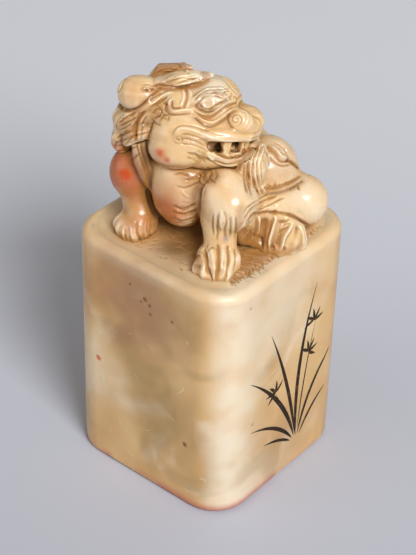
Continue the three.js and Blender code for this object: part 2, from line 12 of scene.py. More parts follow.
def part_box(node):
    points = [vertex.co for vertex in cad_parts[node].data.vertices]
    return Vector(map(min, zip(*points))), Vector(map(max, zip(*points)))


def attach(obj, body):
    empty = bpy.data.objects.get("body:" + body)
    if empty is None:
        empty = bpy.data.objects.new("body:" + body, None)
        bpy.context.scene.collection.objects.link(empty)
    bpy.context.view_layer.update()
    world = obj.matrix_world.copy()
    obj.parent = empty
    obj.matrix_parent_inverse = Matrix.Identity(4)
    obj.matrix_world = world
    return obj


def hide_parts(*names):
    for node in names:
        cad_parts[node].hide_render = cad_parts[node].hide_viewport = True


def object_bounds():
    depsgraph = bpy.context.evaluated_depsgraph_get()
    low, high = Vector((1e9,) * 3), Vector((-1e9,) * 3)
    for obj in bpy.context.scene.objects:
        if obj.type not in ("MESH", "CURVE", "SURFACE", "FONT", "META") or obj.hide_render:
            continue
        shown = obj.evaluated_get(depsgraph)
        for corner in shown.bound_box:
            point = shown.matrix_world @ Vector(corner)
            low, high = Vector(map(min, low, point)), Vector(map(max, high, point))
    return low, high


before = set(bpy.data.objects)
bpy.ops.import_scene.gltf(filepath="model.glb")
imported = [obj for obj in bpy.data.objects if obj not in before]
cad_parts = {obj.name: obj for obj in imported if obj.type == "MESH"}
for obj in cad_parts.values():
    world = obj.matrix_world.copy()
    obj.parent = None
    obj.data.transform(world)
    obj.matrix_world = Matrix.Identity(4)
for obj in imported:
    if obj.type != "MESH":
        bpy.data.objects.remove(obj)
CAD_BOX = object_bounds()

bl_info = {
    "name": "Lion seal stone",
    "version": (1, 0, 0),
    "blender": (4, 5, 0),
    "location": "View3D > Sidebar > Seal stone",
    "description": "Carves and finishes a soapstone seal with a lion knob around its packed solids",
    "category": "Object",
}

MM = 0.001

# Views that the knife work is drawn in: azimuth, elevation and roll in degrees, distance and target in mm.
# The first is the photograph's, fitted to the block's edges.
PHOTO_VIEW = (38.814, 36.140, 1.586, 216.4, (-0.282, -0.227, 25.922))
BACK_VIEW = (219, 25, 0, 285.5, (0, 0, 28.4))
RIGHT_VIEW = (300, 20, 0, 285.5, (0, 0, 28.4))
MUZZLE_VIEW = (118, 12, 0, 285.5, (0, 0, 28.4))
PHOTO_SIZE = (416, 555)
FOCAL_PIXELS = 1688.8
SENSOR_MM = 36

# Block in mm: its far corner, the foot under it, its rounded corners, and its shoulder as cut and as worn
BLOCK_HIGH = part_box("seal_block")[1] / MM
PLATFORM_MM = BLOCK_HIGH.z
FOOT_TOP_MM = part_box("sealing_face")[1].z / MM
FOOT_INSET = 0.96
BORDER_MM = 0.2
BOTTOM_BEVEL_MM = 0.5
CORNER_MM = 4.9
SHOULDER_MM = 1.9
WORN_SHOULDER_MM = 1.2

# Lion's head: its middle in mm and its turn, and its highest part, which is pressed under the solids' top
HEAD_CENTRE_MM = Vector((-1.5, -3.0, PLATFORM_MM + 15.3))
HEAD_BEARING = Euler((math.radians(-24), 0, math.radians(28)), "XYZ").to_matrix()
PRESSED_MM = 2.0
HAIR_MM = 0.01

# Carved forms from the large masses to the fine ones: solids, swell in mm, smoothing passes
HEAD_LAYERS = (
    ((
        "cranium", "left_cheek", "right_cheek", "muzzle", "lower_jaw", "left_nostril", "right_nostril",
    ), 0.25, 80),
    ((
        "upper_nape_lock_middle", "upper_nape_lock_left", "upper_nape_lock_right",
        "lower_nape_lock_middle", "lower_nape_lock_left", "lower_nape_lock_right",
    ), 0.35, 30),
    (("nose", "upper_lip", "left_mane_knot", "right_mane_knot"), 0.2, 20),
    (("tongue",), 0.7, 1),
    ((
        "lower_lip", "left_fang", "right_fang", "left_incisor", "right_incisor",
        "left_eye", "right_eye", "left_brow", "right_brow", "left_ear", "right_ear",
    ), 0.2, 10),
)
FRONT_LAYERS = (
    (("chest", "neck", "left_foreleg", "right_foreleg"), 0.3, 110),
    (("left_forepaw", "right_forepaw"), 0.2, 40),
    (("collar_locks", "right_mane_lock"), 0.2, 16),
)
REAR_LAYERS = (
    (("torso", "left_haunch", "right_haunch", "left_thigh", "right_thigh"), 0.25, 110),
    (("left_hind_paw", "right_hind_paw"), 0.4, 120),
    ((
        "back_lock_1", "back_lock_2", "back_lock_3", "back_lock_4", "tail", "left_tail_curl",
        "right_tail_curl", "spine_ridge",
    ), 0.2, 16),
)

# Solids that the photograph shows smaller or larger: the point that stays, in mm, and the scale
SCALED = {
    "lower_nape_lock_right": ((-4.4, -8.4, 50.0), 0.62),
    "left_forepaw": ((6.9, -6.8, 38.2), 1.12),
    "left_hind_paw": ((8.6, 0.2, 38.4), 0.93),
    "right_hind_paw": ((-8.6, 0.2, 38.4), 0.93),
}

# Balls of the shoulder and the thighs, and stone left between the limbs: middle and radii in mm
LUMPS = {
    "lion_front": (((6.5, -4.8, 42.6), (3.5, 3.5, 3.4)),),
    "lion_rear": tuple(
        ((side * x, y, z), radii)
        for x, y, z, radii in (
            (9.1, 6.2, 38.8, (3.4, 3.4, 3.4)),
            (6.6, -1.9, 38.4, (1.5, 2.3, 3.6)),
            (6.6, -0.3, 42.2, (1.6, 1.7, 1.8)),
        )
        for side in (1, -1)
    ),
}

# Knife work: half width and depth in mm, then points in the pixels of its view. A negative depth leaves a
# ridge. The face is drawn on its right and gets the mirror image on its left.
FACE_STROKES = (
    # Upper lid and the crease over it
    (0.22, 0.2, ((196, 101), (198, 97), (201, 92.5), (207, 88.5), (214, 87.5), (222, 89), (229, 87.5))),
    (0.3, -0.22, ((194, 105), (198, 99), (202, 94.5), (209, 91.5), (216, 91.5), (222, 94), (227, 97))),
    # Flat of the eyeball, and its edge
    (0.9, 0.16, ((203, 103), (207, 102.5), (210, 102), (213, 101.3), (217, 100.5))),
    (0.2, 0.22, ((198, 103), (202, 98), (207, 95.2), (215, 95), (221, 97.5), (226, 99))),
    (0.2, 0.24, ((199, 104), (203, 108.5), (209, 109.6), (214, 107), (218, 104.3), (226, 100))),
    # Lower lid, its crease, and the fold under the eye
    (0.28, -0.24, (
        (193, 108), (199, 112.3), (205, 114), (212, 112.8), (219.5, 107.9), (226, 103), (235, 100),
    )),
    (0.22, 0.22, ((195, 111), (201, 116), (206, 118), (212, 117), (219, 112), (226, 107), (233, 104))),
    (0.3, -0.24, ((195.5, 114.7), (203, 120.5), (212, 122.4), (221, 118), (229.5, 111.5), (237, 108))),
    (0.24, 0.16, ((195, 118), (201, 123), (206, 126), (213, 126), (222, 121), (230, 115))),
    # Knot of hair at the inner corner of the eye
    (0.2, 0.2, ((224, 92), (229, 90.3), (232, 93), (230.5, 97), (226.5, 97.5))),
    (0.2, 0.22, ((233.5, 96), (237, 98.5), (236.5, 102.5), (232.5, 103.8))),
    # Temple: the ribbon, the hook and the fold behind the eye
    (0.3, -0.28, ((149, 105), (155, 101), (164, 95), (172, 92))),
    (0.2, 0.25, ((150, 101), (157, 96), (167, 91))),
    (0.2, 0.22, ((152, 107.5), (159, 102.5), (167, 97))),
    (0.28, -0.24, ((173, 98.5), (169.5, 101.5), (169, 107), (172.5, 111), (180, 110.5), (191, 109.5))),
    (0.2, 0.24, ((172.5, 101), (172, 106), (175, 108.3), (181, 107.5))),
    (0.2, 0.2, ((166, 101), (165, 108), (169, 114), (178, 114.5), (190, 113.5))),
    (0.22, 0.26, ((185.5, 87), (187, 94), (186, 101), (183.5, 108))),
    (0.25, -0.16, ((182.5, 88), (184, 95), (182.5, 102), (180.5, 107))),
    (0.25, -0.14, ((189, 88), (191, 95), (189, 102), (186.5, 107))),
    # Tufts under the temple
    (0.22, 0.2, ((153, 113), (156.5, 108.5), (161, 110.5), (160, 115.5), (156, 117))),
    (0.22, 0.2, ((160, 119.5), (164.5, 114.5), (168.5, 117), (167, 122))),
    (0.2, 0.18, ((152, 119), (155, 123), (160, 125.5))),
    # Nose: the rings round the nostril, and the crease behind it
    (0.22, 0.08, ((240, 110.5), (245, 113), (246.5, 119), (244, 125), (239, 127.5))),
    (0.22, 0.07, ((243, 108.5), (248, 112), (250, 119), (247.5, 126), (242, 130.5))),
    (0.2, 0.12, ((229, 113), (227.5, 119), (230, 125.5), (234, 128.5))),
    # Upper lip, its swirl and the hair on the cheek
    (0.32, -0.16, (
        (175, 133), (180, 128.5), (191, 129.5), (203, 134), (213, 138), (225, 140.5), (241, 141),
    )),
    (0.22, 0.1, ((172, 136), (175, 129), (181, 125.5), (192, 126), (205, 130), (216, 134), (228, 136))),
    (0.2, 0.12, ((180, 134), (188, 134), (197, 137), (206, 141.5))),
    (0.18, 0.1, ((178, 139), (186, 139), (195, 141.5), (205, 146))),
    (0.18, 0.1, ((182, 144), (190, 144.5), (199, 147), (208, 152))),
    # Whiskers at the corner of the jaw
    (0.22, 0.1, ((188, 153), (196, 155.5), (203, 160), (206, 164.5))),
    (0.22, 0.08, ((186, 158), (194, 160), (200, 164))),
    (0.22, -0.12, ((190, 151), (199, 153.5), (208, 159))),
)

# Knife work in the photograph's view alone
PHOTO_STROKES = (
    # Holes of the mouth, the gap under the teeth, and the rolled lower lip
    (0.8, 1.2, ((210.5, 143.5), (213, 146.5), (217, 149.5), (219, 151))),
    (0.45, 0.8, ((231.5, 153.5), (235.5, 155))),
    (0.45, 0.8, ((247, 143.5), (247, 147.5))),
    (0.35, 0.5, ((217, 152.5), (223, 156), (229, 157.5), (237, 156.5), (243, 152), (247, 148))),
    (0.4, -0.25, ((207, 155), (214, 160), (222, 164), (232, 165), (242, 161), (249, 154))),
    # Foot of the mane knot, and two pits in it
    (0.32, 0.34, (
        (119, 103), (123, 109), (130, 110.5), (137, 109), (143, 105), (150, 98), (157, 92), (160, 88),
    )),
    (0.26, 0.3, ((146, 89.5), (148, 90.5))),
    (0.26, 0.3, ((152.5, 88), (154.5, 89))),
    (0.2, 0.2, ((143, 84), (148, 83), (153, 85), (157, 84))),
    # Near ear: the crevice under it, its ribs
    (0.28, 0.36, ((159, 84), (171, 86.5), (183, 86), (195, 82.5), (206, 78))),
    (0.22, -0.2, ((161, 82), (168, 77.5), (175, 73.5))),
    (0.18, 0.2, ((166, 82), (175, 78), (186, 74.5), (198, 73))),
    (0.22, -0.2, ((180, 83), (190, 81), (198, 78))),
    (0.18, 0.16, ((176, 82.5), (188, 78.5), (200, 75.5))),
    # Far ear: two furrows and the curl at its end
    (0.22, 0.2, ((153, 70), (161, 66), (170, 65.5), (177, 67))),
    (0.2, 0.18, ((158, 72.5), (166, 69.5), (174, 70))),
    (0.24, 0.24, ((177, 63.5), (179.5, 66), (179, 69.5))),
    (0.24, -0.2, ((181, 63), (185, 63.5), (187.5, 67), (186, 71))),
    # Cheek beside the temple lock
    (0.26, 0.3, ((153, 122), (149.5, 130), (147.5, 139), (148, 147), (149.5, 154), (154, 162))),
    # Crevice and tufts at the edge of the mane
    (0.32, 0.36, ((145, 112), (139.5, 117), (136, 124), (134.5, 131), (134.5, 138))),
    (0.2, 0.2, ((134, 113), (126, 117), (118, 123))),
    (0.2, 0.2, ((136, 118), (128, 122), (120, 126))),
    (0.2, 0.16, ((132, 124), (125, 128), (118, 131))),
    (0.2, 0.2, ((134, 129), (126, 133), (117, 138))),
    (0.2, 0.2, ((136, 135), (128, 138.5), (120, 142))),
    (0.22, 0.22, ((137, 141), (128, 144), (114, 147))),
    (0.22, 0.22, ((136, 147), (127, 150), (115, 153))),
    (0.24, -0.16, ((136, 144), (127, 147), (114, 150))),
    (0.24, -0.16, ((135, 132), (126, 136), (116, 141))),
    # Temple lock beside the cheek
    (0.22, 0.26, ((146, 116), (142, 127), (141, 140), (143, 155), (148, 170))),
    (0.22, 0.26, ((138, 122), (135.5, 132), (136, 145), (139.5, 157), (145, 170))),
    # Strands of the collar
    (0.26, 0.3, ((245, 166), (244.5, 178), (247, 192))),
    (0.26, 0.3, ((250, 157), (248, 168), (248.5, 180), (251.5, 194))),
    (0.26, 0.3, ((257, 149), (253.5, 160), (252.5, 172), (254.5, 185), (258, 196))),
    (0.26, 0.3, ((262, 146), (259, 157), (257.5, 168), (258.5, 180), (263, 193))),
    (0.26, 0.3, ((267, 146), (262.5, 158), (261, 170), (262.5, 182), (268, 192))),
    (0.24, -0.2, ((254, 152), (251, 164), (250.5, 176), (252.5, 190))),
    (0.24, -0.2, ((260, 147), (256.5, 158), (255, 170), (256, 184), (260, 195))),
    (0.24, -0.2, ((265, 146), (261, 158), (259.5, 170), (260.5, 182), (265, 193))),
    # Flutes of the left forearm
    (0.24, 0.13, ((213, 215), (212.5, 224), (213.8, 235))),
    (0.24, 0.15, ((217.5, 214), (217, 226), (217, 240))),
    (0.26, 0.13, ((224, 212), (226.5, 219), (225, 229), (226, 238))),
    (0.24, 0.13, ((231, 216), (230.5, 224), (230, 235))),
    (0.24, 0.12, ((236, 216), (236, 228), (235, 241))),
    (0.28, -0.16, ((215, 213), (215, 224), (215.5, 236))),
    (0.3, -0.16, ((221, 211), (220.5, 219), (221.5, 229))),
    (0.26, -0.14, ((233.5, 217), (233, 226), (232.5, 236))),
    # Toes of the left forepaw
    (0.4, 0.5, ((204, 250), (205.5, 259), (207.5, 270), (212, 281))),
    (0.4, 0.5, ((217.5, 246), (218, 256), (218, 268), (216.5, 283))),
    (0.36, 0.45, ((228, 247), (229, 258), (228, 270), (224, 281))),
    (0.3, 0.3, ((235, 250), (236, 260), (234, 271))),
    (0.26, -0.2, ((194, 258), (199, 253.5), (203.5, 258), (204.5, 268))),
    (0.3, -0.2, ((211, 249), (212.5, 258), (214, 268))),
    (0.3, -0.2, ((222.5, 247), (222.5, 257), (221, 268))),
    (0.22, 0.16, ((207.5, 250), (212.5, 247.5), (216.5, 250))),
    # Toes of the right forepaw
    (0.28, 0.28, ((125, 229), (125, 236), (125.6, 241))),
    (0.3, 0.32, ((136, 221), (138, 232), (142, 243.8))),
    (0.26, 0.26, ((151.5, 220), (151, 230), (149, 239))),
    (0.3, -0.2, ((130, 224), (131, 232), (133, 240))),
    (0.3, -0.2, ((145, 221), (145, 230), (145.5, 239))),
    # Flakes of hair down the chest
    (0.28, 0.24, ((173, 206), (182.5, 210), (195, 204))),
    (0.3, -0.2, ((175, 209.5), (183, 212), (194.5, 207.5))),
    (0.28, 0.26, ((173, 212.5), (184, 215), (196, 210.5))),
    (0.3, -0.2, ((174, 215.5), (185, 218.5), (195.5, 214))),
    (0.28, 0.26, ((171, 218.5), (183, 221.5), (196, 217.5))),
    (0.28, -0.18, ((171, 221.5), (182.5, 224.5), (194, 221))),
    (0.26, 0.24, ((169, 225), (180, 228), (192, 225))),
    (0.22, 0.18, ((176, 186), (184, 188), (192, 185), (199, 181))),
    (0.22, -0.16, ((182, 191), (186, 195), (188.5, 196.5))),
    (0.22, 0.16, ((174, 174), (181, 173), (188, 176))),
    (0.22, 0.16, ((186, 180), (193, 178.5), (201, 176))),
    # Hair of the throat, and the line down the inside of the shoulder
    (0.2, 0.2, ((196, 172), (200, 175), (198, 181), (203, 186))),
    (0.2, 0.2, ((202, 168), (205, 174), (203, 179), (208, 183))),
    (0.2, 0.2, ((208, 168), (211, 173), (209, 178), (214, 182))),
    (0.2, 0.18, ((215, 169), (217, 174), (215.5, 179))),
    (0.6, 0.4, ((206, 180), (202, 187), (199, 195), (198.5, 205), (199, 215), (201, 226))),
    (0.6, 0.4, ((149, 172), (148, 182), (149, 195), (152, 207), (156, 217))),
    (0.28, -0.22, ((207, 182), (204.5, 188), (202.5, 195))),
)

# Curls of the face: middle, inner and outer radius in pixels, turns, start in degrees, depth in mm
CURLS = (
    ((236, 119.5), 0.8, 6.5, 1.7, 200, 0.16),
    ((178.5, 139), 0.8, 5.5, 1.3, 60, 0.1),
)

# Knife work on the lion's left, which its right flank repeats
FLANK_STROKES = (
    # Leaf swirl on the haunch, and the crack beside it
    (0.3, 0.3, ((264, 146), (270, 150), (275.5, 154.5), (280, 160.5), (286.5, 161.5), (289.5, 157))),
    (0.28, 0.28, ((275, 142.5), (281, 145.5), (286, 150.5), (288.5, 157))),
    (0.34, -0.3, ((270, 146), (276, 150), (281, 156), (286, 157.5))),
    (0.26, 0.24, ((266, 152), (272, 160), (281, 165.5), (291, 165))),
    (0.3, 0.42, ((290, 161), (294, 164), (298, 167.5))),
    # Roped hem of the haunch
    (0.24, 0.26, ((264, 188), (272, 187.5), (282, 185), (292, 181), (300, 176))),
    (0.34, -0.3, ((265, 191.5), (274, 191), (284, 188.5), (294, 184), (301, 179))),
    # Folds between the collar and the hind paw
    (0.22, 0.2, ((275, 196), (262, 202), (252, 209), (245, 218))),
    (0.22, 0.2, ((268, 194.5), (258, 200), (249, 206.5), (243, 214))),
    (0.22, 0.2, ((284, 197.5), (271, 204), (260, 210), (250, 217))),
    (0.4, -0.22, ((234, 235), (241, 227), (249, 219), (257, 212.5))),
    # Crease over the hind paw
    (0.3, 0.36, (
        (247, 221), (254, 214.5), (264, 212.5), (275, 213), (285, 214), (294, 216), (302, 221), (310, 227),
    )),
    # Panels of the hind paw, the ribs between them and the pits at their feet
    (0.75, 0.3, ((265, 218), (263, 230), (260.5, 246))),
    (0.8, 0.3, ((284, 219), (280, 232), (275, 248))),
    (0.7, 0.22, ((298, 225), (296, 236), (291, 248))),
    (0.36, -0.5, ((258.5, 216.5), (258, 224), (256.5, 235))),
    (0.36, -0.52, ((276, 216.5), (274, 224), (272, 232), (269.5, 240), (269.5, 249))),
    (0.36, -0.5, ((292.5, 223), (288, 231), (283.5, 238), (281, 249))),
    (0.26, -0.26, ((300, 226), (303, 235), (303, 244))),
    (0.4, 0.5, ((258.5, 237), (259.5, 242), (261, 247))),
    (0.36, 0.4, ((271.5, 246), (272.5, 250))),
    (0.36, 0.4, ((284, 247), (285, 251))),
    (0.4, 0.45, ((274.5, 211.5), (276, 214))),
)

# Patches of short cuts: middle, radii, heading in degrees, length and count, all in pixels, and depth in mm
PHOTO_HATCHES = (
    ((161, 112), (9, 13), 35, 6, 22, 0.09),
    ((129, 124), (11, 12), 150, 8, 20, 0.09),
    ((196, 157), (9, 6), 25, 6, 12, 0.06),
    ((183, 139), (7, 6), 20, 5, 10, 0.06),
    ((231, 95), (6, 6), 60, 4, 8, 0.07),
    ((180, 79), (20, 4), -10, 9, 16, 0.08),
    ((184, 215), (13, 13), 12, 8, 26, 0.08),
    ((206, 176), (14, 7), 75, 5, 26, 0.09),
    ((255, 170), (9, 22), 92, 9, 26, 0.08),
    ((224, 226), (11, 12), 92, 8, 24, 0.07),
    ((284, 225), (4, 7), -22, 10, 7, 0.12),
    ((249, 232), (7, 9), 110, 7, 26, 0.16),
    ((262, 204), (18, 8), 150, 9, 22, 0.07),
    ((213, 260), (17, 15), 92, 6, 30, 0.07),
    ((135, 231), (17, 9), 100, 6, 22, 0.07),
    ((284, 186), (19, 4), 65, 4, 26, 0.1),
    ((277, 152), (12, 6), 35, 6, 12, 0.06),
)

# Soil that the brush left, and painted shade in the valleys beside and under the chest, under the jaw and
# round the forelegs: half width in mm, strength, and points in the photograph's pixels
SOIL_AND_SHADE_STROKES = (
    # Ears, knot and nape
    (0.9, 0.9, ((157, 86), (170, 86), (183, 86), (197, 82))),
    (0.8, 0.8, ((120, 104), (128, 110), (137, 109), (147, 101), (157, 92))),
    (0.6, 1.0, ((144, 89), (149, 89.5), (155, 89))),
    (0.8, 1.0, ((141, 115), (137, 122), (135, 130), (135, 138))),
    (1.8, 0.7, ((150, 120), (157, 113), (166, 108))),
    (1.3, 0.6, ((133, 118), (125, 123), (118, 128))),
    (1.2, 0.6, ((134, 134), (126, 138), (118, 142))),
    # Face
    (0.7, 0.6, ((197, 104), (203, 110), (209, 112), (216, 107), (226, 101))),
    (0.7, 0.6, ((198, 99), (204, 94), (212, 92), (222, 95))),
    (0.8, 0.4, ((196, 118), (204, 124), (213, 125), (222, 120))),
    (0.7, 0.6, ((234, 112), (228, 119), (231, 127))),
    (0.8, 0.4, ((173, 133), (178, 139), (188, 136), (200, 140))),
    (0.7, 0.6, ((206, 140), (215, 150), (228, 158), (240, 158), (250, 148))),
    # Under the jaw: painted shade, with soil
    (0.9, 0.8, ((152, 160), (165, 166), (180, 167), (195, 168))),
    (1.0, 0.9, ((238, 168), (243, 160), (250, 150))),
    (0.9, 0.7, ((152, 125), (148.5, 135), (148, 147), (150, 156))),
    # Throat, and the valleys beside and under the chest: painted shade, with soil
    (2.4, 0.9, ((190, 173), (198, 175), (206, 177), (211, 176))),
    (2.2, 0.9, ((206, 178), (201, 187), (199, 197), (198.5, 210), (200, 225), (203, 238))),
    (1.6, 1.0, ((143, 150), (145, 165), (146, 180), (147, 195), (150, 210), (155, 225))),
    (3.0, 1.0, ((158, 224), (175, 232), (192, 234))),
    # Forelegs, with painted shade on the far shin, under the far paw and beside the near paw
    (2.4, 0.5, ((130, 195), (129, 205), (128, 215))),
    (1.4, 0.6, ((116, 234), (125, 240), (136, 243), (148, 239))),
    (1.4, 0.9, ((193, 245), (196, 255), (197, 265))),
    (1.6, 0.2, ((212, 216), (217, 224), (217, 238))),
    (1.2, 0.5, ((241, 208), (240, 222), (239, 240))),
    (0.9, 0.4, ((205, 262), (213, 272), (222, 272))),
    # Flank and hind paw
    (1.3, 0.5, ((247, 165), (247, 180), (250, 193))),
    (0.6, 1.0, ((288, 160.5), (291, 162), (295, 165), (298, 168))),
    (0.9, 0.6, ((260, 193), (275, 192), (288, 189), (301, 182))),
    (1.2, 0.4, ((262, 203), (252, 210), (244, 219))),
    (0.7, 0.8, ((247, 221), (254, 214.5), (264, 212.5), (275, 213))),
    (0.5, 1.0, ((290, 215.5), (300, 220), (309, 227))),
    (2.0, 1.0, ((242, 230), (248, 236), (254, 240), (259, 243))),
    (0.6, 1.0, ((258.5, 236), (260, 242), (262, 248))),
    (0.5, 1.0, ((271.5, 245), (272.5, 251))),
    (1.2, 0.2, ((265, 222), (263, 232), (261, 244))),
    (1.2, 0.2, ((283, 222), (279, 234), (275, 246))),
    (1.0, 0.7, ((258, 248), (265, 251), (275, 253), (288, 252), (298, 248))),
)

# Knife work on the sides that the photograph doesn't show: the back, the right and the end of the muzzle
BACK_STROKES = (
    # Flame of the tail
    (0.28, 0.26, ((176, 202), (172, 226), (167.5, 252))),
    (0.28, 0.26, ((185, 204), (180, 230), (171.5, 256))),
    (0.26, 0.24, ((166, 213), (163.5, 230), (163, 248))),
    (0.24, 0.2, ((190, 212), (187, 232), (177, 254))),
    # Swirls of hair on the haunches, and flames beside them
    (0.28, 0.26, (
        (213, 213), (208, 212), (206, 217), (210, 222), (217, 220), (219, 213), (214, 207), (205, 207),
    )),
    (0.24, 0.2, ((222, 222), (218, 230), (210, 234))),
    (0.24, 0.2, ((227, 218), (225, 229), (218, 237))),
    (0.28, 0.26, (
        (164, 189), (159.5, 188), (157, 192), (160, 197), (167, 196), (169.5, 190), (165, 184),
    )),
    (0.24, 0.2, ((153, 197), (156, 204), (163, 208))),
    # Hair on the shoulder
    (0.24, 0.2, ((238, 184), (244, 190), (246, 199))),
    (0.24, 0.2, ((246, 182), (252, 189), (254, 199))),
    (0.24, 0.2, ((254, 182), (260, 189), (261, 198))),
    # Strands from the crown to the nape
    (0.24, 0.2, ((222, 119), (232, 124), (243, 127), (252, 131))),
    (0.24, 0.2, ((214, 121), (224, 128), (236, 131))),
    (0.24, 0.18, ((225, 113), (236, 118), (247, 121))),
)
RIGHT_STROKES = (
    # Strands down the nape
    (0.26, 0.24, ((205, 170), (204, 182), (209, 195))),
    (0.26, 0.24, ((210, 165), (208, 182.5), (214.5, 200))),
    (0.26, 0.26, ((218.5, 167.5), (218.5, 187), (220, 202))),
    (0.26, 0.26, ((227.5, 165), (227.5, 187), (224, 203))),
    (0.26, 0.24, ((236, 163), (236, 183), (229.5, 201))),
    (0.26, 0.24, ((242.5, 161), (245, 176), (238.5, 195.5))),
    (0.24, -0.16, ((214, 167), (213, 184), (217, 200))),
    (0.24, -0.16, ((223, 166), (223, 186), (222, 202))),
    (0.24, -0.16, ((232, 164), (232, 185), (227, 202))),
    # Curl of the mane knot
    (0.26, 0.24, (
        (228, 146), (224, 144), (221, 148), (225, 153), (232, 151), (234, 144), (228, 139), (220, 140),
    )),
    # Flakes of hair on the flank
    (0.24, 0.2, ((160, 186), (166, 192), (174, 194))),
    (0.24, 0.2, ((156, 194), (163, 200), (172, 201))),
    (0.24, 0.2, ((169, 178), (175, 184), (183, 186))),
)
MUZZLE_STROKES = (
    # Bridge and wings of the nose, and the lip under it
    (0.26, 0.18, ((188, 137), (195, 134.5), (203, 135.5), (211, 140))),
    (0.22, 0.14, ((190, 133), (197, 130.5), (205, 132), (212, 136))),
    (0.26, 0.18, ((190, 140), (193, 146), (192, 153))),
    (0.26, 0.18, ((210, 143), (213, 150), (211, 157))),
    (0.24, 0.18, ((200, 152), (199, 158), (197, 164))),
    (0.24, 0.16, ((178, 152), (186, 157), (196, 160.5), (206, 161), (214, 159))),
    (0.2, 0.12, ((204, 152), (209, 155), (214, 156))),
    (0.2, 0.12, ((193, 152), (188, 153), (183, 151))),
    # Tuft of the forehead
    (0.24, 0.18, ((197, 127), (199, 121), (205, 117.5))),
    (0.24, 0.18, ((214, 131), (215, 124), (210, 118.5))),
    (0.24, 0.16, ((203, 127), (205, 122), (207, 118))),
    (0.24, 0.16, ((209, 128.5), (210, 123), (208.5, 118.5))),
    # Hair of the neck and of the tail
    (0.26, 0.24, ((200, 168), (201, 173), (200, 179))),
    (0.26, 0.24, ((207, 167), (208, 172), (206, 178))),
    (0.26, 0.24, ((213, 167), (214, 171), (213, 176))),
    (0.26, 0.2, ((252, 187), (262, 200), (270, 214))),
    (0.26, 0.2, ((246, 193), (256, 206), (264, 222))),
)

# Combed forms of the head and of the rear, the spacing and depth of their furrows, and how far the comb
# reaches from a form's solid, in mm
COMBED_HEAD = ("left_ear",)
COMBED_REAR = (
    "back_lock_1", "back_lock_2", "back_lock_3", "back_lock_4", "left_tail_curl", "right_tail_curl",
)
COMB_SPACING = 0.75
COMB_DEPTH = 0.2
COMB_REACH = 0.45

# Knife: half width of curls and of hatching in mm, range of its pressure, and points between two presses
CURL_HALF = 0.2
HATCH_HALF = 0.17
PRESSURE = (0.7, 1.15)
PRESS_POINTS = 18

# Marks that age leaves on a skin, and pale ridges that are partly a painted highlight: smoothing passes and
# depth in mm of a full mark, and where a ridge starts
LINE_PASSES = 6
LINE_DEPTH = 0.05
WASH_PASSES = 45
WASH_DEPTH = 0.14
RIDGE_START = 0.4

# Zones of the stone: middle and radius in mm, colour, strength, and softness of the edge. Some zones are
# painted light or shade, as noted.
LION_ZONES = (
    # Forehead paler, partly painted light against the ear's shade; the thigh paler round a painted
    # highlight; the haunch greyer, painted shade from the head; the shoulder a little darker gold
    ((0.8, -2.6, 55.6), 4.2, "pale", 0.9, 0.7),
    ((11.0, 4.3, 40.4), 4.6, "pale", 0.6, 0.9),
    ((7.5, 3.3, 45.0), 5.5, "mauve", 0.25, 0.9),
    ((7.6, -6.1, 43.6), 3.5, "gold", 0.15, 0.9),
    # Elbow with its red spot, and the chest beside it
    ((-7.4, -7.4, 42.8), 5.2, "rose", 0.92, 0.4),
    ((-6.7, -8.7, 43.0), 0.95, "orange", 0.9, 0.4),
    ((-1.6, -8.4, 39.4), 5.6, "russet", 0.95, 0.7),
    ((1.8, -8.6, 43.0), 6.0, "russet", 0.25, 0.9),
    # Dark crevice between the elbow and the chest: painted shade
    ((-4.8, -6.4, 40.0), 2.4, "bark", 0.7, 0.8),
    ((-4.0, -7.8, 43.0), 1.2, "soil", 0.7, 0.8),
    # Red flecks of the cheek
    ((-0.8, -9.2, 47.6), 3.4, "rose", 0.35, 0.95),
    ((-0.5, -9.2, 48.8), 1.0, "orange", 0.85, 1.0),
    ((0.3, -9.1, 48.1), 0.7, "orange", 0.75, 1.0),
    ((2.8, -6.4, 48.8), 0.5, "orange", 0.6, 0.9),
    ((-5.2, -8.6, 54.6), 3.0, "tan", 0.3, 0.8),
    # Eye, ears, nape and mouth
    ((2.5, -4.2, 54.6), 1.3, "tan", 0.35, 0.7),
    ((-7.0, -1.2, 54.8), 2.6, "umber", 0.8, 0.5),
    ((-4.9, -0.1, 55.0), 1.4, "soil", 0.6, 0.7),
    ((-3.2, -5.2, 56.0), 1.8, "umber", 0.4, 0.8),
    ((0.2, -2.3, 56.5), 1.1, "umber", 0.6, 0.7),
    ((-5.2, -9.0, 50.2), 2.6, "umber", 0.45, 0.9),
    # Near black in the holes of the mouth: painted shade
    ((2.9, -1.5, 48.4), 1.8, "pitch", 0.9, 0.5),
    # Vein of the forearm, and the darkened hollow before the hind paw
    ((7.5, -6.9, 39.1), 0.8, "mauve", 0.7, 0.8),
    ((7.4, -2.4, 37.0), 1.9, "bark", 0.85, 0.8),
    ((8.2, -8.6, 37.0), 3.2, "olive", 0.15, 0.9),
)
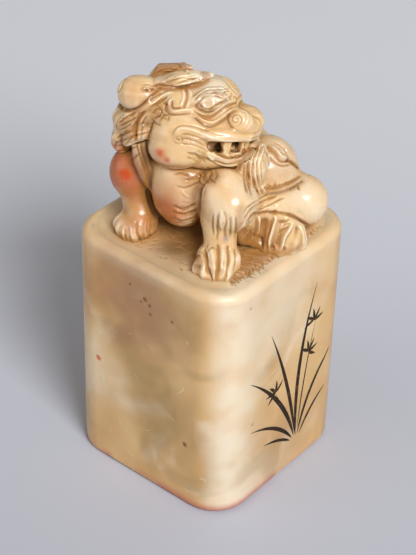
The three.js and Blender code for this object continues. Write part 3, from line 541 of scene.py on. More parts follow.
BLOCK_ZONES = (
    # The +X side: paler at the top, painted light, and darker gold and umber towards the bottom
    ((13.0, -2.0, 30.0), 13.0, "pale", 0.6, 0.9),
    ((13.0, 4.0, 8.0), 12.0, "gold", 0.7, 0.9),
    ((13.0, 0.0, 6.0), 9.0, "umber", 0.25, 0.9),
    ((-1.0, -13.0, 29.5), 13.0, "umber", 0.65, 0.85),
    ((-5.0, -13.0, 29.0), 8.0, "rose", 0.1, 0.9),
    ((2.0, -13.0, 14.0), 10.0, "olive", 0.6, 0.9),
    ((-8.0, -13.0, 14.0), 7.0, "pale", 0.35, 0.9),
    ((0.2, -13.0, 29.9), 0.5, "soil", 1.0, 0.7),
    ((1.0, -13.0, 29.3), 0.4, "soil", 1.0, 0.7),
    ((-0.4, -13.0, 29.2), 0.3, "soil", 1.0, 0.7),
    ((1.1, -13.0, 28.0), 0.35, "soil", 1.0, 0.7),
    ((4.6, -13.0, 28.6), 0.3, "soil", 1.0, 0.7),
    ((-2.2, -13.0, 31.0), 0.3, "soil", 1.0, 0.7),
    ((7.0, -13.0, 10.2), 0.5, "soil", 1.0, 0.7),
    ((13.0, -8.4, 32.2), 0.3, "soil", 1.0, 0.7),
    ((13.0, -7.0, 13.0), 0.35, "soil", 0.8, 0.7),
    ((-7.7, -13.0, 16.5), 0.55, "orange", 0.8, 0.6),
    ((2.0, 13.0, 22.0), 10.0, "olive", 0.4, 0.9),
    ((-13.0, 3.0, 12.0), 9.0, "umber", 0.35, 0.9),
)
GROUND_ZONES = (
    ((1.5, -1.0, PLATFORM_MM), 10.5, "tan", 0.7, 0.7),
    ((7.6, -4.6, PLATFORM_MM), 4.6, "umber", 0.85, 0.7),
    ((8.6, -0.8, PLATFORM_MM), 3.8, "umber", 0.85, 0.7),
    # Dark under the chest between the forepaws, painted shadow; then the darkened hollow before the hind
    # paw
    ((1.4, -5.4, PLATFORM_MM), 6.0, "bark", 0.9, 0.7),
    ((8.0, -1.0, PLATFORM_MM), 2.6, "bark", 0.8, 0.8),
    ((0.5, 9.5, PLATFORM_MM), 4.5, "umber", 0.5, 0.8),
)

# Orchid cut into the block's +X side. Blades and stems: y and z of the root in mm, heading and bend in
# degrees, length and half width in mm. Flowers: y, z and heading, with each petal's turn, bend and sizes.
BLADES = (
    (2.6, 5.0, 96, -26, 24.0, 0.42),
    (2.2, 5.2, 108, 34, 18.0, 0.40),
    (3.0, 5.0, 78, -44, 15.0, 0.36),
    (1.8, 5.0, 124, 42, 11.5, 0.34),
    (2.4, 5.4, 101, 14, 21.0, 0.36),
    (3.4, 4.8, 60, -34, 8.0, 0.30),
    (1.4, 4.8, 140, 30, 6.5, 0.28),
    (2.9, 6.0, 86, -10, 17.0, 0.16),
    (2.0, 6.0, 112, 8, 10.5, 0.15),
)
FLOWERS = ((5.0, 22.8, 84), (4.2, 18.2, 40), (-2.4, 15.4, 118))
PETAL_TURNS = (-85, -40, 5, 50, 95)
PETAL_BEND = 20
PETAL_MM = (2.0, 0.28)
BLADE_STEPS = 14

# Ground round the lion in mm: a fine grid whose rim, a square with very round corners, sinks a little under
# the platform. The ramp and the cut are shares of the reach. The scratches may run past the rim.
GROUND_SIDE = 25
GROUND_STEPS = 220
GROUND_REACH = 12.0
GROUND_SQUARENESS = 5
GROUND_RAMP = 0.2
GROUND_CUT = 1.015
GROUND_RISE = 0.5
GROUND_SINK = 0.012
GROUND_THICKNESS = 0.5
SCRATCH_REACH = 12.4
SCRATCH_HALF = 0.16
ABOVE_ALL = 60


def linear(hex_colour):
    """sRGB hex to a linear RGBA tuple."""
    channels = [int(hex_colour[i:i + 2], 16) / 255 for i in (1, 3, 5)]
    return tuple(c / 12.92 if c <= 0.04045 else ((c + 0.055) / 1.055) ** 2.4 for c in channels) + (1.0,)


def colour(name, description, hex_colour):
    return FloatVectorProperty(
        name=name, description=description, subtype="COLOR", size=4, min=0, max=1,
        default=linear(hex_colour),
    )


def camera(view):
    """Right, up and back of a view's camera, and its place in mm."""
    azimuth, elevation, roll = (math.radians(angle) for angle in view[:3])
    level = math.cos(elevation)
    back = Vector((math.sin(azimuth) * level, -math.cos(azimuth) * level, math.sin(elevation)))
    flat = Vector((math.cos(azimuth), math.sin(azimuth), 0))
    upright = back.cross(flat)
    right = math.cos(roll) * flat + math.sin(roll) * upright
    up = math.cos(roll) * upright - math.sin(roll) * flat
    return right, up, back, Vector(view[4]) + back * view[3]


def only(piece):
    """Leaves just this piece selected and active."""
    bpy.ops.object.select_all(action="DESELECT")
    piece.select_set(True)
    bpy.context.view_layer.objects.active = piece


def joined(pieces):
    """The first piece with the others joined to it."""
    only(pieces[0])
    for piece in pieces:
        piece.select_set(True)
    bpy.ops.object.join()
    return pieces[0]


def copy_of(name, solids):
    """One mesh of these solids' copies, merged, in millimetres."""
    copies = []
    for solid in solids:
        copied = bpy.data.objects.new(name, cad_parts[solid].data.copy())
        copied.data.transform(Matrix.Scale(1 / MM, 4))
        if solid in SCALED:
            root, scale = SCALED[solid]
            away = Matrix.Translation(-Vector(root))
            copied.data.transform(Matrix.Translation(root) @ Matrix.Scale(scale, 4) @ away)
        copied.data.materials.clear()
        bpy.context.scene.collection.objects.link(copied)
        copies.append(copied)
    piece = joined(copies)
    bpy.ops.object.mode_set(mode="EDIT")
    bpy.ops.mesh.select_all(action="SELECT")
    bpy.ops.mesh.remove_doubles(threshold=0.001)
    bpy.ops.object.mode_set(mode="OBJECT")
    return piece


def apply(piece, kind, **settings):
    """Adds one modifier with these settings and applies it."""
    only(piece)
    modifier = piece.modifiers.new(kind.title(), kind)
    for key, value in settings.items():
        setattr(modifier, key, value)
    bpy.ops.object.modifier_apply(modifier=modifier.name)


def lump(middle, radii):
    """A plain mass of stone."""
    bpy.ops.mesh.primitive_uv_sphere_add(segments=32, ring_count=16, radius=1, location=middle)
    mass = bpy.context.object
    mass.scale = radii
    bpy.ops.object.transform_apply()
    return mass


def figure(name, layers, spacing):
    """The blocked-out figure: each layer of solids swells over its seams and melts into the skin below."""
    skin = None
    for solids, swell, passes in layers:
        grown = copy_of(name, solids)
        apply(grown, "DISPLACE", strength=swell, mid_level=0)
        # What stands on the block goes down into it, so that no seam shows under the paws
        for vertex in grown.data.vertices:
            vertex.co.z -= max(0, PLATFORM_MM + 1 - vertex.co.z)
        if skin:
            skin = joined([skin, grown])
        else:
            skin = joined([grown] + [lump(*shape) for shape in LUMPS.get(name, ())])
        apply(skin, "REMESH", mode="VOXEL", voxel_size=spacing)
        apply(skin, "SMOOTH", factor=0.5, iterations=passes)
    skin.name = name
    return skin


def settle(piece, slot, solids):
    """Puts a finished piece back into metres and on its body, in place of its solids."""
    piece.data.transform(Matrix.Scale(MM, 4))
    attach(piece, "root")
    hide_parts(*solids)


class Skin:
    """A figure's points, with what the knife takes off, the soil that it leaves room for, and painted
    shade.
    """

    def __init__(self, piece):
        self.mesh = piece.data
        count = len(self.mesh.vertices)
        self.points = np.empty((count, 3), dtype=np.float32)
        self.normals = np.empty((count, 3), dtype=np.float32)
        self.mesh.vertices.foreach_get("co", self.points.ravel())
        self.mesh.vertices.foreach_get("normal", self.normals.ravel())
        self.taken = np.zeros(count, dtype=np.float32)
        self.laid_soil_and_shade = np.zeros(count, dtype=np.float32)
        self.chance = np.random.default_rng(count)
        self.tree = BVHTree.FromObject(piece, bpy.context.evaluated_depsgraph_get())

    def cast(self, pixel, view):
        """Where a view's camera sees a pixel on the skin: point, normal and distance, or nothing."""
        right, up, back, eye = camera(view)
        across = (pixel[0] - PHOTO_SIZE[0] / 2) / FOCAL_PIXELS
        rise = (PHOTO_SIZE[1] / 2 - pixel[1]) / FOCAL_PIXELS
        point, normal, _, distance = self.tree.ray_cast(eye, right * across + up * rise - back)
        return (*point, *normal, distance) if point else None

    def reflect(self, line, centre, bearing):
        """A line on the other side of a frame's middle plane, laid on the skin there."""
        flip = bearing @ Matrix.Diagonal((1, -1, 1)) @ bearing.transposed()
        hits = []
        for spot in line[:, :3]:
            point, normal, _, _ = self.tree.find_nearest(centre + flip @ (Vector(spot) - centre))
            hits.append((*point, *normal))
        return np.array(hits, dtype=np.float32)

    def within(self, spots, margin):
        """Points in a margin round the box of some spots."""
        low = spots.min(axis=0) - margin
        high = spots.max(axis=0) + margin
        return np.flatnonzero(np.all((self.points > low) & (self.points < high), axis=1))

    def beside(self, line, half):
        """Points within a half width of a line, the line's nearest spot to each, and a fall from 1 to 0."""
        spots = line[:, :3]
        near = self.within(spots, half)
        gaps = np.linalg.norm(self.points[near, None] - spots[None], axis=2)
        closest = gaps.argmin(axis=1)
        fall = np.clip(1 - gaps[np.arange(len(near)), closest] / half, 0, 1)
        return near, closest, fall * fall * (3 - 2 * fall)

    def soil_and_shade(self, line, half, strength):
        """Leaves soil along a line; in the valleys the same mark is painted shade."""
        near, _, fall = self.beside(line, half)
        self.laid_soil_and_shade[near] = np.maximum(self.laid_soil_and_shade[near], strength * fall)

    def cut(self, line, half, depth, once=False):
        """Takes a tapering groove along a line, or leaves a ridge where the depth is negative.

        Grooves that cross take off more, unless they are cut once.
        """
        near, closest, fall = self.beside(line, half)
        share = closest / (len(line) - 1)
        taper = np.clip(np.minimum(share, 1 - share) * 5 + 0.35, 0, 1)
        presses = self.chance.uniform(*PRESSURE, 2 + len(line) // PRESS_POINTS)
        taper *= np.interp(share, np.linspace(0, 1, len(presses)), presses)
        facing = np.clip((self.normals[near] * line[closest, 3:]).sum(axis=1) * 2, 0, 1)
        groove = depth * taper * fall * facing
        self.taken[near] = np.maximum(self.taken[near], groove) if once else self.taken[near] + groove

    def comb(self, lock, depth):
        """Wavy furrows along one lock, side by side across it, that end before its tips."""
        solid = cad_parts[lock]
        corners = np.array([v.co for v in solid.data.vertices], dtype=np.float32) / MM
        middle = corners.mean(axis=0)
        along, across = np.linalg.svd(corners - middle, full_matrices=False)[2][:2]
        tree = BVHTree.FromObject(solid, bpy.context.evaluated_depsgraph_get())
        reach = np.abs((corners - middle) @ along).max()
        for index in self.within(corners, 0.5):
            gap = tree.find_nearest(Vector(self.points[index]) * MM, COMB_REACH * MM)[3]
            if gap is None:
                continue
            place = self.points[index] - middle
            run = float(place @ along)
            drift = float(place @ across) / COMB_SPACING + 0.25 * math.sin(1.4 * run)
            wave = 0.5 + 0.5 * math.cos(2 * math.pi * drift)
            end = min(1.0, 2.5 * (1.0 - abs(run) / reach))
            self.taken[index] += depth * wave * wave * max(end, 0)

    def hollow(self, passes):
        """How far each point lies below the skin, softened by so many passes."""
        edges = np.empty((len(self.mesh.edges), 2), dtype=np.int32)
        self.mesh.edges.foreach_get("vertices", edges.ravel())
        first, second = edges.T
        count = len(self.points)
        links = np.bincount(edges.ravel(), minlength=count)
        soft = self.points.astype(np.float64)
        for _ in range(passes):
            total = [
                np.bincount(first, soft[second, k], count) + np.bincount(second, soft[first, k], count)
                for k in range(3)
            ]
            soft = np.stack(total, axis=1) / links[:, None]
        return ((soft - self.points) * self.normals).sum(axis=1)

    def finish(self):
        """Writes the cut points back, and what age and painted light give them: soil, a tan wash, painted
        shade in the valleys, and ridges pale from polish and from a painted highlight.
        """
        self.points -= self.normals * self.taken[:, None]

        # The swelling stays a hair under the solids' highest point
        start = CAD_BOX[1].z / MM - PRESSED_MM - HAIR_MM
        above = np.clip(self.points[:, 2] - start, 0, None)
        self.points[:, 2] -= above * (1 - PRESSED_MM / max(above.max(), PRESSED_MM))
        self.mesh.vertices.foreach_set("co", self.points.ravel())
        self.mesh.update()
        self.mesh.vertices.foreach_get("normal", self.normals.ravel())
        broad = self.hollow(WASH_PASSES) / WASH_DEPTH
        marks = {
            "lines": self.hollow(LINE_PASSES) / LINE_DEPTH, "wash": broad, "ridges": -broad - RIDGE_START,
            "soil_and_shade": self.laid_soil_and_shade,
        }
        for name, values in marks.items():
            kept = np.clip(values, 0, 1).astype(np.float32)
            self.mesh.attributes.new(name, "FLOAT", "POINT").data.foreach_set("value", kept)
        self.mesh.polygons.foreach_set("use_smooth", np.ones(len(self.mesh.polygons), dtype=bool))


def seen(skins, pixels, view):
    """Each skin with the part of a line that a view's camera sees on it, as points and normals."""
    lines = [[] for _ in skins]
    for pixel in pixels:
        hits = []
        for index, skin in enumerate(skins):
            hit = skin.cast(pixel, view)
            if hit:
                hits.append((hit[6], index, hit[:6]))
        if hits:
            _, index, spot = min(hits)
            lines[index].append(spot)
    return [(skin, np.array(line, dtype=np.float32)) for skin, line in zip(skins, lines) if len(line) > 1]


def hatch(chance, middle, radii, heading, length, count, depth):
    """Short random cuts along a heading inside an oval: points in pixels and depth of each."""
    for _ in range(count):
        bearing = chance.uniform(0, 2 * math.pi)
        spread = math.sqrt(chance.uniform(0, 1))
        spot = np.array(middle) + spread * np.array(radii) * (math.cos(bearing), math.sin(bearing))
        turn = math.radians(heading) + chance.normal(0, 0.25)
        ahead = np.array((math.cos(turn), math.sin(turn))) * length * chance.uniform(0.3, 0.65)
        bow = np.array((-ahead[1], ahead[0])) * chance.normal(0, 0.2)
        yield (spot - ahead, spot + bow, spot + ahead), depth * chance.uniform(0.6, 1.3)


def spline(points, step=0.6):
    """A smooth line through the points, sampled at this step."""
    given = np.array(points, dtype=float)
    padded = np.vstack([2 * given[0] - given[1], given, 2 * given[-1] - given[-2]])
    samples = []
    for p0, p1, p2, p3 in zip(padded, padded[1:], padded[2:], padded[3:]):
        count = max(2, int(np.linalg.norm(p2 - p1) / step))
        for t in np.linspace(0, 1, count, endpoint=False):
            bend = 2 * p1 + (p2 - p0) * t + (2 * p0 - 5 * p1 + 4 * p2 - p3) * t * t
            samples.append((bend + (3 * p1 - p0 - 3 * p2 + p3) * t ** 3) / 2)
    return samples + [given[-1]]


def curl(middle, inner, outer, turns, start):
    """Points of a spiral that winds outwards."""
    shares = np.linspace(0, 1, int(14 * turns))
    angles = np.radians(start) + shares * turns * 2 * np.pi
    radii = inner + (outer - inner) * shares
    return np.stack([middle[0] + radii * np.cos(angles), middle[1] + radii * np.sin(angles)], axis=1)


def node(tree, kind, links, output=0, **settings):
    """Adds a shader node with its settings, links or sets its sockets, and gives one of its outputs."""
    added = tree.nodes.new("ShaderNode" + kind)
    for key, value in settings.items():
        setattr(added, key, value)
    for socket, source in links.items():
        if isinstance(source, bpy.types.NodeSocket):
            tree.links.new(source, added.inputs[socket])
        else:
            added.inputs[socket].default_value = source
    return added.outputs[output]


def over(tree, stone, tint, *ramps):
    """Lays a colour over the stone, in the share that its ramps give when multiplied.

    A ramp is a value, the low and high end of its range, and the share at each end.
    """
    share = None
    for value, low, high, at_low, at_high in ramps:
        ends = {0: value, 1: low, 2: high, 3: at_low, 4: at_high}
        ramp = node(tree, "MapRange", ends, interpolation_type="SMOOTHSTEP")
        share = node(tree, "Math", {0: share, 1: ramp}, operation="MULTIPLY") if share else ramp
    return node(tree, "Mix", {0: share, 6: stone, 7: tint}, 2, data_type="RGBA")


def clouded(tree, place, colours, first, second):
    """The stone's own colour: soft clouds a finger wide, paler wisps inside them, and a few dark grains."""
    links = {"Vector": place, "Scale": 1 / (14 * MM), "Detail": 2, "Distortion": 0.6}
    clouds = node(tree, "TexNoise", links)
    stone = over(tree, first, second, (clouds, 0.34, 0.68, 0, 1))
    links = {"Vector": place, "Scale": 1 / (8 * MM), "Detail": 3, "Distortion": 0.9}
    wisps = node(tree, "TexNoise", links)
    stone = over(tree, stone, colours.pale, (wisps, 0.46, 0.8, 0, 0.6))
    grains = node(tree, "TexVoronoi", {"Vector": place, "Scale": 1 / (2.6 * MM)}, "Distance")
    chosen = node(tree, "SeparateColor", {0: grains.node.outputs["Color"]})
    return over(tree, stone, colours.umber, (grains, 0.02, 0.07, 0.7, 0), (chosen, 0.78, 0.84, 0, 1))


def zoned(tree, place, stone, colours, zones):
    """Veins and zones of other colours, with ragged edges: fine ones round the small zones."""
    shifts = []
    for size, detail in ((1.5, 5), (5, 2)):
        links = {"Vector": place, "Scale": 1 / (size * MM), "Detail": detail}
        ragged = node(tree, "TexNoise", links, "Color")
        shifts.append(node(tree, "VectorMath", {0: ragged, 1: (0.5, 0.5, 0.5)}, operation="SUBTRACT"))
    fine, coarse = shifts
    for middle, radius, tint, strength, soft in zones:
        wander = {0: fine if radius < 3 else coarse, "Scale": 0.9 * radius * MM}
        moved = node(tree, "VectorMath", wander, operation="SCALE")
        spot = node(tree, "VectorMath", {0: place, 1: moved}, operation="ADD")
        centre = [c * MM for c in middle]
        gap = node(tree, "VectorMath", {0: spot, 1: centre}, "Value", operation="DISTANCE")
        edge = (gap, radius * (1 - soft) * MM, radius * MM, strength, 0)
        stone = over(tree, stone, getattr(colours, tint), edge)
    return stone


def mark(tree, name, strength):
    """Value socket of one of a skin's marks, at this strength."""
    kept = node(tree, "Attribute", {}, "Fac", attribute_name=name)
    return node(tree, "Math", {0: kept, 1: strength}, operation="MULTIPLY")


def soiled_and_shaded(tree, place, stone, colours):
    """What handling leaves, and painted shade: a tan wash in the hollows, brown cuts, soil and painted
    shade where stained, and tan and near black painted shade in the crevices.
    """
    spread = node(tree, "TexNoise", {"Vector": place, "Scale": 1 / (1.6 * MM), "Detail": 5})
    ends = {0: spread, 1: 0.3, 2: 0.7, 3: 0.6, 4: 1.0}
    patchy = node(tree, "MapRange", ends, interpolation_type="SMOOTHSTEP")
    # The stain mark holds soil, and painted shade in the valleys beside and under the chest
    soil_and_shade = node(tree, "Math", {0: mark(tree, "soil_and_shade", 1.0), 1: patchy}, operation="MULTIPLY")
    for name, strength, where, tint in (
        ("wash", 0.9, patchy, colours.tan),
        ("soil_and_shade", 1.0, patchy, colours.tan),
        ("soil_and_shade", 0.85, soil_and_shade, colours.soil),
        ("lines", 0.55, patchy, colours.soil),
        ("lines", 0.75, soil_and_shade, colours.bark),
    ):
        laid = node(tree, "Math", {0: mark(tree, name, strength), 1: where}, operation="MULTIPLY")
        stone = node(tree, "Mix", {0: laid, 6: stone, 7: tint}, 2, data_type="RGBA")

    # Sheltered places, darkened by how enclosed they are: tan and near black painted shade in crevices,
    # recesses and between the parts, over the soil that gathers there
    opening = node(tree, "AmbientOcclusion", {"Distance": 2.5 * MM}, "AO", samples=8)
    shelter = node(tree, "AmbientOcclusion", {"Distance": 7 * MM}, "AO", samples=8)
    stone = over(tree, stone, colours.tan, (opening, 0.3, 0.8, 0.6, 0))
    stone = over(tree, stone, colours.tan, (shelter, 0.2, 0.8, 0.75, 0))
    return over(tree, stone, colours.bark, (opening, 0.05, 0.45, 0.9, 0))


def waxed(tree, place, stone, roughness):
    """Hand polish over a translucent stone: its gloss is a little uneven, with fine scratches."""
    worn, grain, waves = (
        node(tree, "TexNoise", {"Vector": place, "Scale": 1 / (size * MM), "Detail": detail})
        for size, detail in ((0.9, 6), (0.35, 3), (5, 2))
    )
    ends = {0: worn, 1: 0.3, 2: 0.7, 3: roughness[0], 4: roughness[1]}
    gloss = node(tree, "MapRange", ends, interpolation_type="SMOOTHSTEP")
    gloss = node(tree, "Math", {0: mark(tree, "lines", 0.35), 1: gloss}, operation="ADD")
    relief = node(tree, "Bump", {"Height": grain, "Strength": 0.16, "Distance": 0.05 * MM})
    relief = node(tree, "Bump", {"Height": waves, "Strength": 0.35, "Distance": 0.5 * MM, "Normal": relief})
    shader = tree.nodes["Principled BSDF"].inputs
    for socket, source in (("Base Color", stone), ("Roughness", gloss), ("Normal", relief)):
        tree.links.new(source, shader[socket])
    shader["IOR"].default_value = 1.54
    shader["Subsurface Weight"].default_value = 0.6
    shader["Subsurface Radius"].default_value = (1.0, 0.55, 0.28)
    shader["Subsurface Scale"].default_value = 0.9 * MM


def new_material(name):
    """A node material with its tree and the Object coordinates that its patterns follow."""
    material = bpy.data.materials.new(name)
    material.use_nodes = True
    return material, material.node_tree, node(material.node_tree, "TexCoord", {}, "Object")


def carved_soapstone(colours):
    """Cream soapstone, carved and waxed by hand: translucent and glossy, with soil left in its cuts."""
    material, tree, place = new_material("waxed_soapstone_carving")
    stone = clouded(tree, place, colours, colours.cream, colours.honey)
    # Convex ridges made pale: partly polish, partly a painted highlight
    polish_and_highlight = {0: mark(tree, "ridges", 0.7), 6: stone, 7: colours.pale}
    stone = node(tree, "Mix", polish_and_highlight, 2, data_type="RGBA")
    stone = zoned(tree, place, stone, colours, LION_ZONES)
    waxed(tree, place, soiled_and_shaded(tree, place, stone, colours), (0.14, 0.3))
    return material


def golden(tree, place, colours):
    """The block's colour: golden clouds with greenish ones and zones, some of them painted light, paler at
    the shoulder, and a pale front edge that is partly wear and partly a painted highlight.
    """
    stone = clouded(tree, place, colours, colours.honey, colours.gold)
    links = {"Vector": place, "Scale": 1 / (10 * MM), "Detail": 2, "Distortion": 0.8}
    moss = node(tree, "TexNoise", links)
    stone = over(tree, stone, colours.olive, (moss, 0.5, 0.66, 0, 0.45))
    stone = zoned(tree, place, stone, colours, BLOCK_ZONES)

    # Upright edge in front, pale where both flat faces turn away, partly rubbed and partly a painted
    # highlight, and the shoulder paler towards the top
    spot = node(tree, "SeparateXYZ", {0: place}).node.outputs
    edge_patches = node(tree, "TexNoise", {"Vector": place, "Scale": 1 / (6 * MM), "Detail": 2})
    stone = over(
        tree, stone, colours.pale, (spot["X"], 9 * MM, 12.4 * MM, 0, 1),
        (spot["Y"], -12 * MM, -2 * MM, 1, 0), (edge_patches, 0.35, 0.6, 0.5, 0.95),
    )
    return over(tree, stone, colours.pale, (spot["Z"], 32 * MM, 34.4 * MM, 0, 0.25))


def scratched_soapstone(colours):
    """The block's stone under the lion, roughened with a knife: matt, with brown soil in the scratches."""
    material, tree, place = new_material("scratched_soapstone")
    stone = zoned(tree, place, golden(tree, place, colours), colours, GROUND_ZONES)
    waxed(tree, place, soiled_and_shaded(tree, place, stone, colours), (0.5, 0.65))
    return material


def sawn_soapstone(colours):
    """Golden soapstone, sawn and rubbed flat: cloudy and glossy, scratched, with red paste at its foot."""
    material, tree, place = new_material("waxed_soapstone_block")
    stone = golden(tree, place, colours)
    height = node(tree, "SeparateXYZ", {0: place}, "Z")

    # Hair scratches on the upright faces, drawn 0.06 mm wide so that they show
    arcs = node(tree, "TexNoise", {"Vector": place, "Scale": 1 / (5 * MM), "Detail": 0})
    hairs = node(tree, "Math", {0: arcs, 1: 0.5, 2: 0.004}, operation="COMPARE")
    breaks = node(tree, "TexNoise", {"Vector": place, "Scale": 1 / (2.5 * MM), "Detail": 2})
    stone = over(
        tree, stone, colours.pale, (hairs, 0, 1, 0, 1), (height, 31.5 * MM, 32.5 * MM, 1, 0),
        (breaks, 0.58, 0.64, 0, 0.6),
    )

    # Seal paste rubbed into the foot
    smears = node(tree, "TexNoise", {"Vector": place, "Scale": 1 / (5 * MM), "Detail": 4})
    band = (height, 0.2 * MM, 1.9 * MM, 1, 0)
    stone = over(tree, stone, colours.cinnabar, band, (smears, 0.38, 0.58, 0.1, 0.9))
    waxed(tree, place, stone, (0.3, 0.45))
    return material


def inked(colours):
    """Lampblack rubbed into knife cuts: matt and nearly black, with thinner patches."""
    material, tree, place = new_material("lampblack_in_cuts")
    shader = tree.nodes["Principled BSDF"].inputs
    thin = node(tree, "TexNoise", {"Vector": place, "Scale": 1 / (0.6 * MM), "Detail": 4})
    ink = over(tree, colours.pitch, colours.soil, (thin, 0.5, 0.8, 0, 0.6))
    tree.links.new(ink, shader["Base Color"])
    shader["Roughness"].default_value = 0.8
    return material


class SealColours(bpy.types.PropertyGroup):
    cream: colour("Cream", "Body of the carving", "#EDCA9C")
    honey: colour("Honey", "Warm clouds of the stone", "#E2BD86")
    gold: colour("Gold", "Darker clouds of the block", "#D2A66A")
    # Pale is also painted light: highlights on the front edge, the thigh and the ridges, the forehead and
    # the top of the +X side
    pale: colour("Pale", "Wisps and worn edges", "#F2E4CB")
    rose: colour("Rose", "Red zone of the stone", "#BA602C")
    orange: colour("Orange", "Spots of red ore", "#CC5018")
    umber: colour("Umber", "Brown zones and grains", "#96653F")
    olive: colour("Olive", "Green-grey zones of the block", "#A88850")
    # Mauve also greys the haunch as painted shade
    mauve: colour("Mauve", "Grey-violet vein of the forearm", "#A08B90")
    russet: colour("Russet", "Brown-red zone of the chest", "#BC6A2E")
    # Tan also paints the softer shade in crevices and recesses
    tan: colour("Tan", "Thin soil in the hollows", "#C08C4C")
    # Soil also paints shade in the valleys beside the chest
    soil: colour("Soil", "Soil in the cuts", "#88541E")
    # Bark also paints the deep shade in crevices, between the parts and under the chest
    bark: colour("Bark", "Deep soil in the crevices", "#4A2E1C")
    # Pitch also paints the shade in the holes of the mouth
    pitch: colour("Pitch", "Lampblack in the cuts", "#2E1A0C")
    cinnabar: colour("Cinnabar", "Seal paste", "#B85A4C")
    # The floor's colour grades from near to far: painted light
    floor: colour("Floor", "Paper under the seal, near the camera", "#B4B7C4")
    far_floor: colour("Far floor", "Paper under the seal, far from the camera", "#EEF1FA")


class SealSizes(bpy.types.PropertyGroup):
    head_skin: FloatProperty(
        name="Head skin", description="Spacing of the head's points",
        default=0.115 * MM, min=0.08 * MM, unit="LENGTH",
    )
    body_skin: FloatProperty(
        name="Body skin", description="Spacing of the body's points",
        default=0.142 * MM, min=0.1 * MM, unit="LENGTH",
    )
    knife: FloatProperty(
        name="Knife", description="Depth of the carving against its drawn depth",
        default=1.0, min=0, subtype="FACTOR",
    )
    scratches: IntProperty(
        name="Scratches", description="Knife scratches in the ground", default=560, min=0,
    )


class SEAL_OT_stage(bpy.types.Operator):
    """Adds the floor, the lights and the photograph's camera"""

    bl_idname = "seal.stage"
    bl_label = "Stage"

    def execute(self, context):
        scene = context.scene
        colours = scene.seal_colours
        right, up, back, eye = camera(PHOTO_VIEW)
        bpy.ops.object.select_all(action="DESELECT")
        bpy.ops.mesh.primitive_plane_add(size=4, location=(0, 0, 0))
        floor = context.object
        floor.name = "floor"

        # Uncoated paper: matt and plain, a little paler towards the back, which is painted light
        material, tree, place = new_material("uncoated_paper")
        shader = tree.nodes["Principled BSDF"].inputs
        reach = node(tree, "VectorMath", {0: place, 1: -back}, "Value", operation="DOT_PRODUCT")
        paper_and_painted_light = over(tree, colours.floor, colours.far_floor, (reach, -0.06, 0.12, 0, 1))
        tree.links.new(paper_and_painted_light, shader["Base Color"])
        shader["Roughness"].default_value = 0.6
        floor.data.materials.append(material)

        data = bpy.data.cameras.new("photo_camera")
        data.sensor_width = SENSOR_MM
        data.lens = FOCAL_PIXELS * SENSOR_MM / PHOTO_SIZE[1]
        data.clip_start = 0.01
        shot = bpy.data.objects.new("photo_camera", data)
        scene.collection.objects.link(shot)
        aim = Matrix((right, up, back)).transposed().to_4x4()
        aim.translation = eye * MM
        shot.matrix_world = aim
        scene.camera = shot

        scene.view_settings.view_transform = "Standard"
        world = bpy.data.worlds.new("studio")
        world.use_nodes = True
        sky = world.node_tree.nodes["Background"]
        sky.inputs["Color"].default_value = linear("#F0EDE8")
        sky.inputs["Strength"].default_value = 0.3
        scene.world = world
        for name, energy, size, spot in (
            ("window", 3.7, 0.28, (0.432, -0.211, 0.43)),
            ("bounce", 0.6, 0.5, (-0.3, -0.5, 0.25)),
        ):
            lamp = bpy.data.lights.new(name, "AREA")
            lamp.energy = energy
            lamp.shape = "DISK"
            lamp.size = size
            lit = bpy.data.objects.new(name, lamp)
            scene.collection.objects.link(lit)
            lit.location = spot
            lit.rotation_euler = (Vector((0, 0, 0.03)) - lit.location).to_track_quat("-Z", "Y").to_euler()
        return {"FINISHED"}


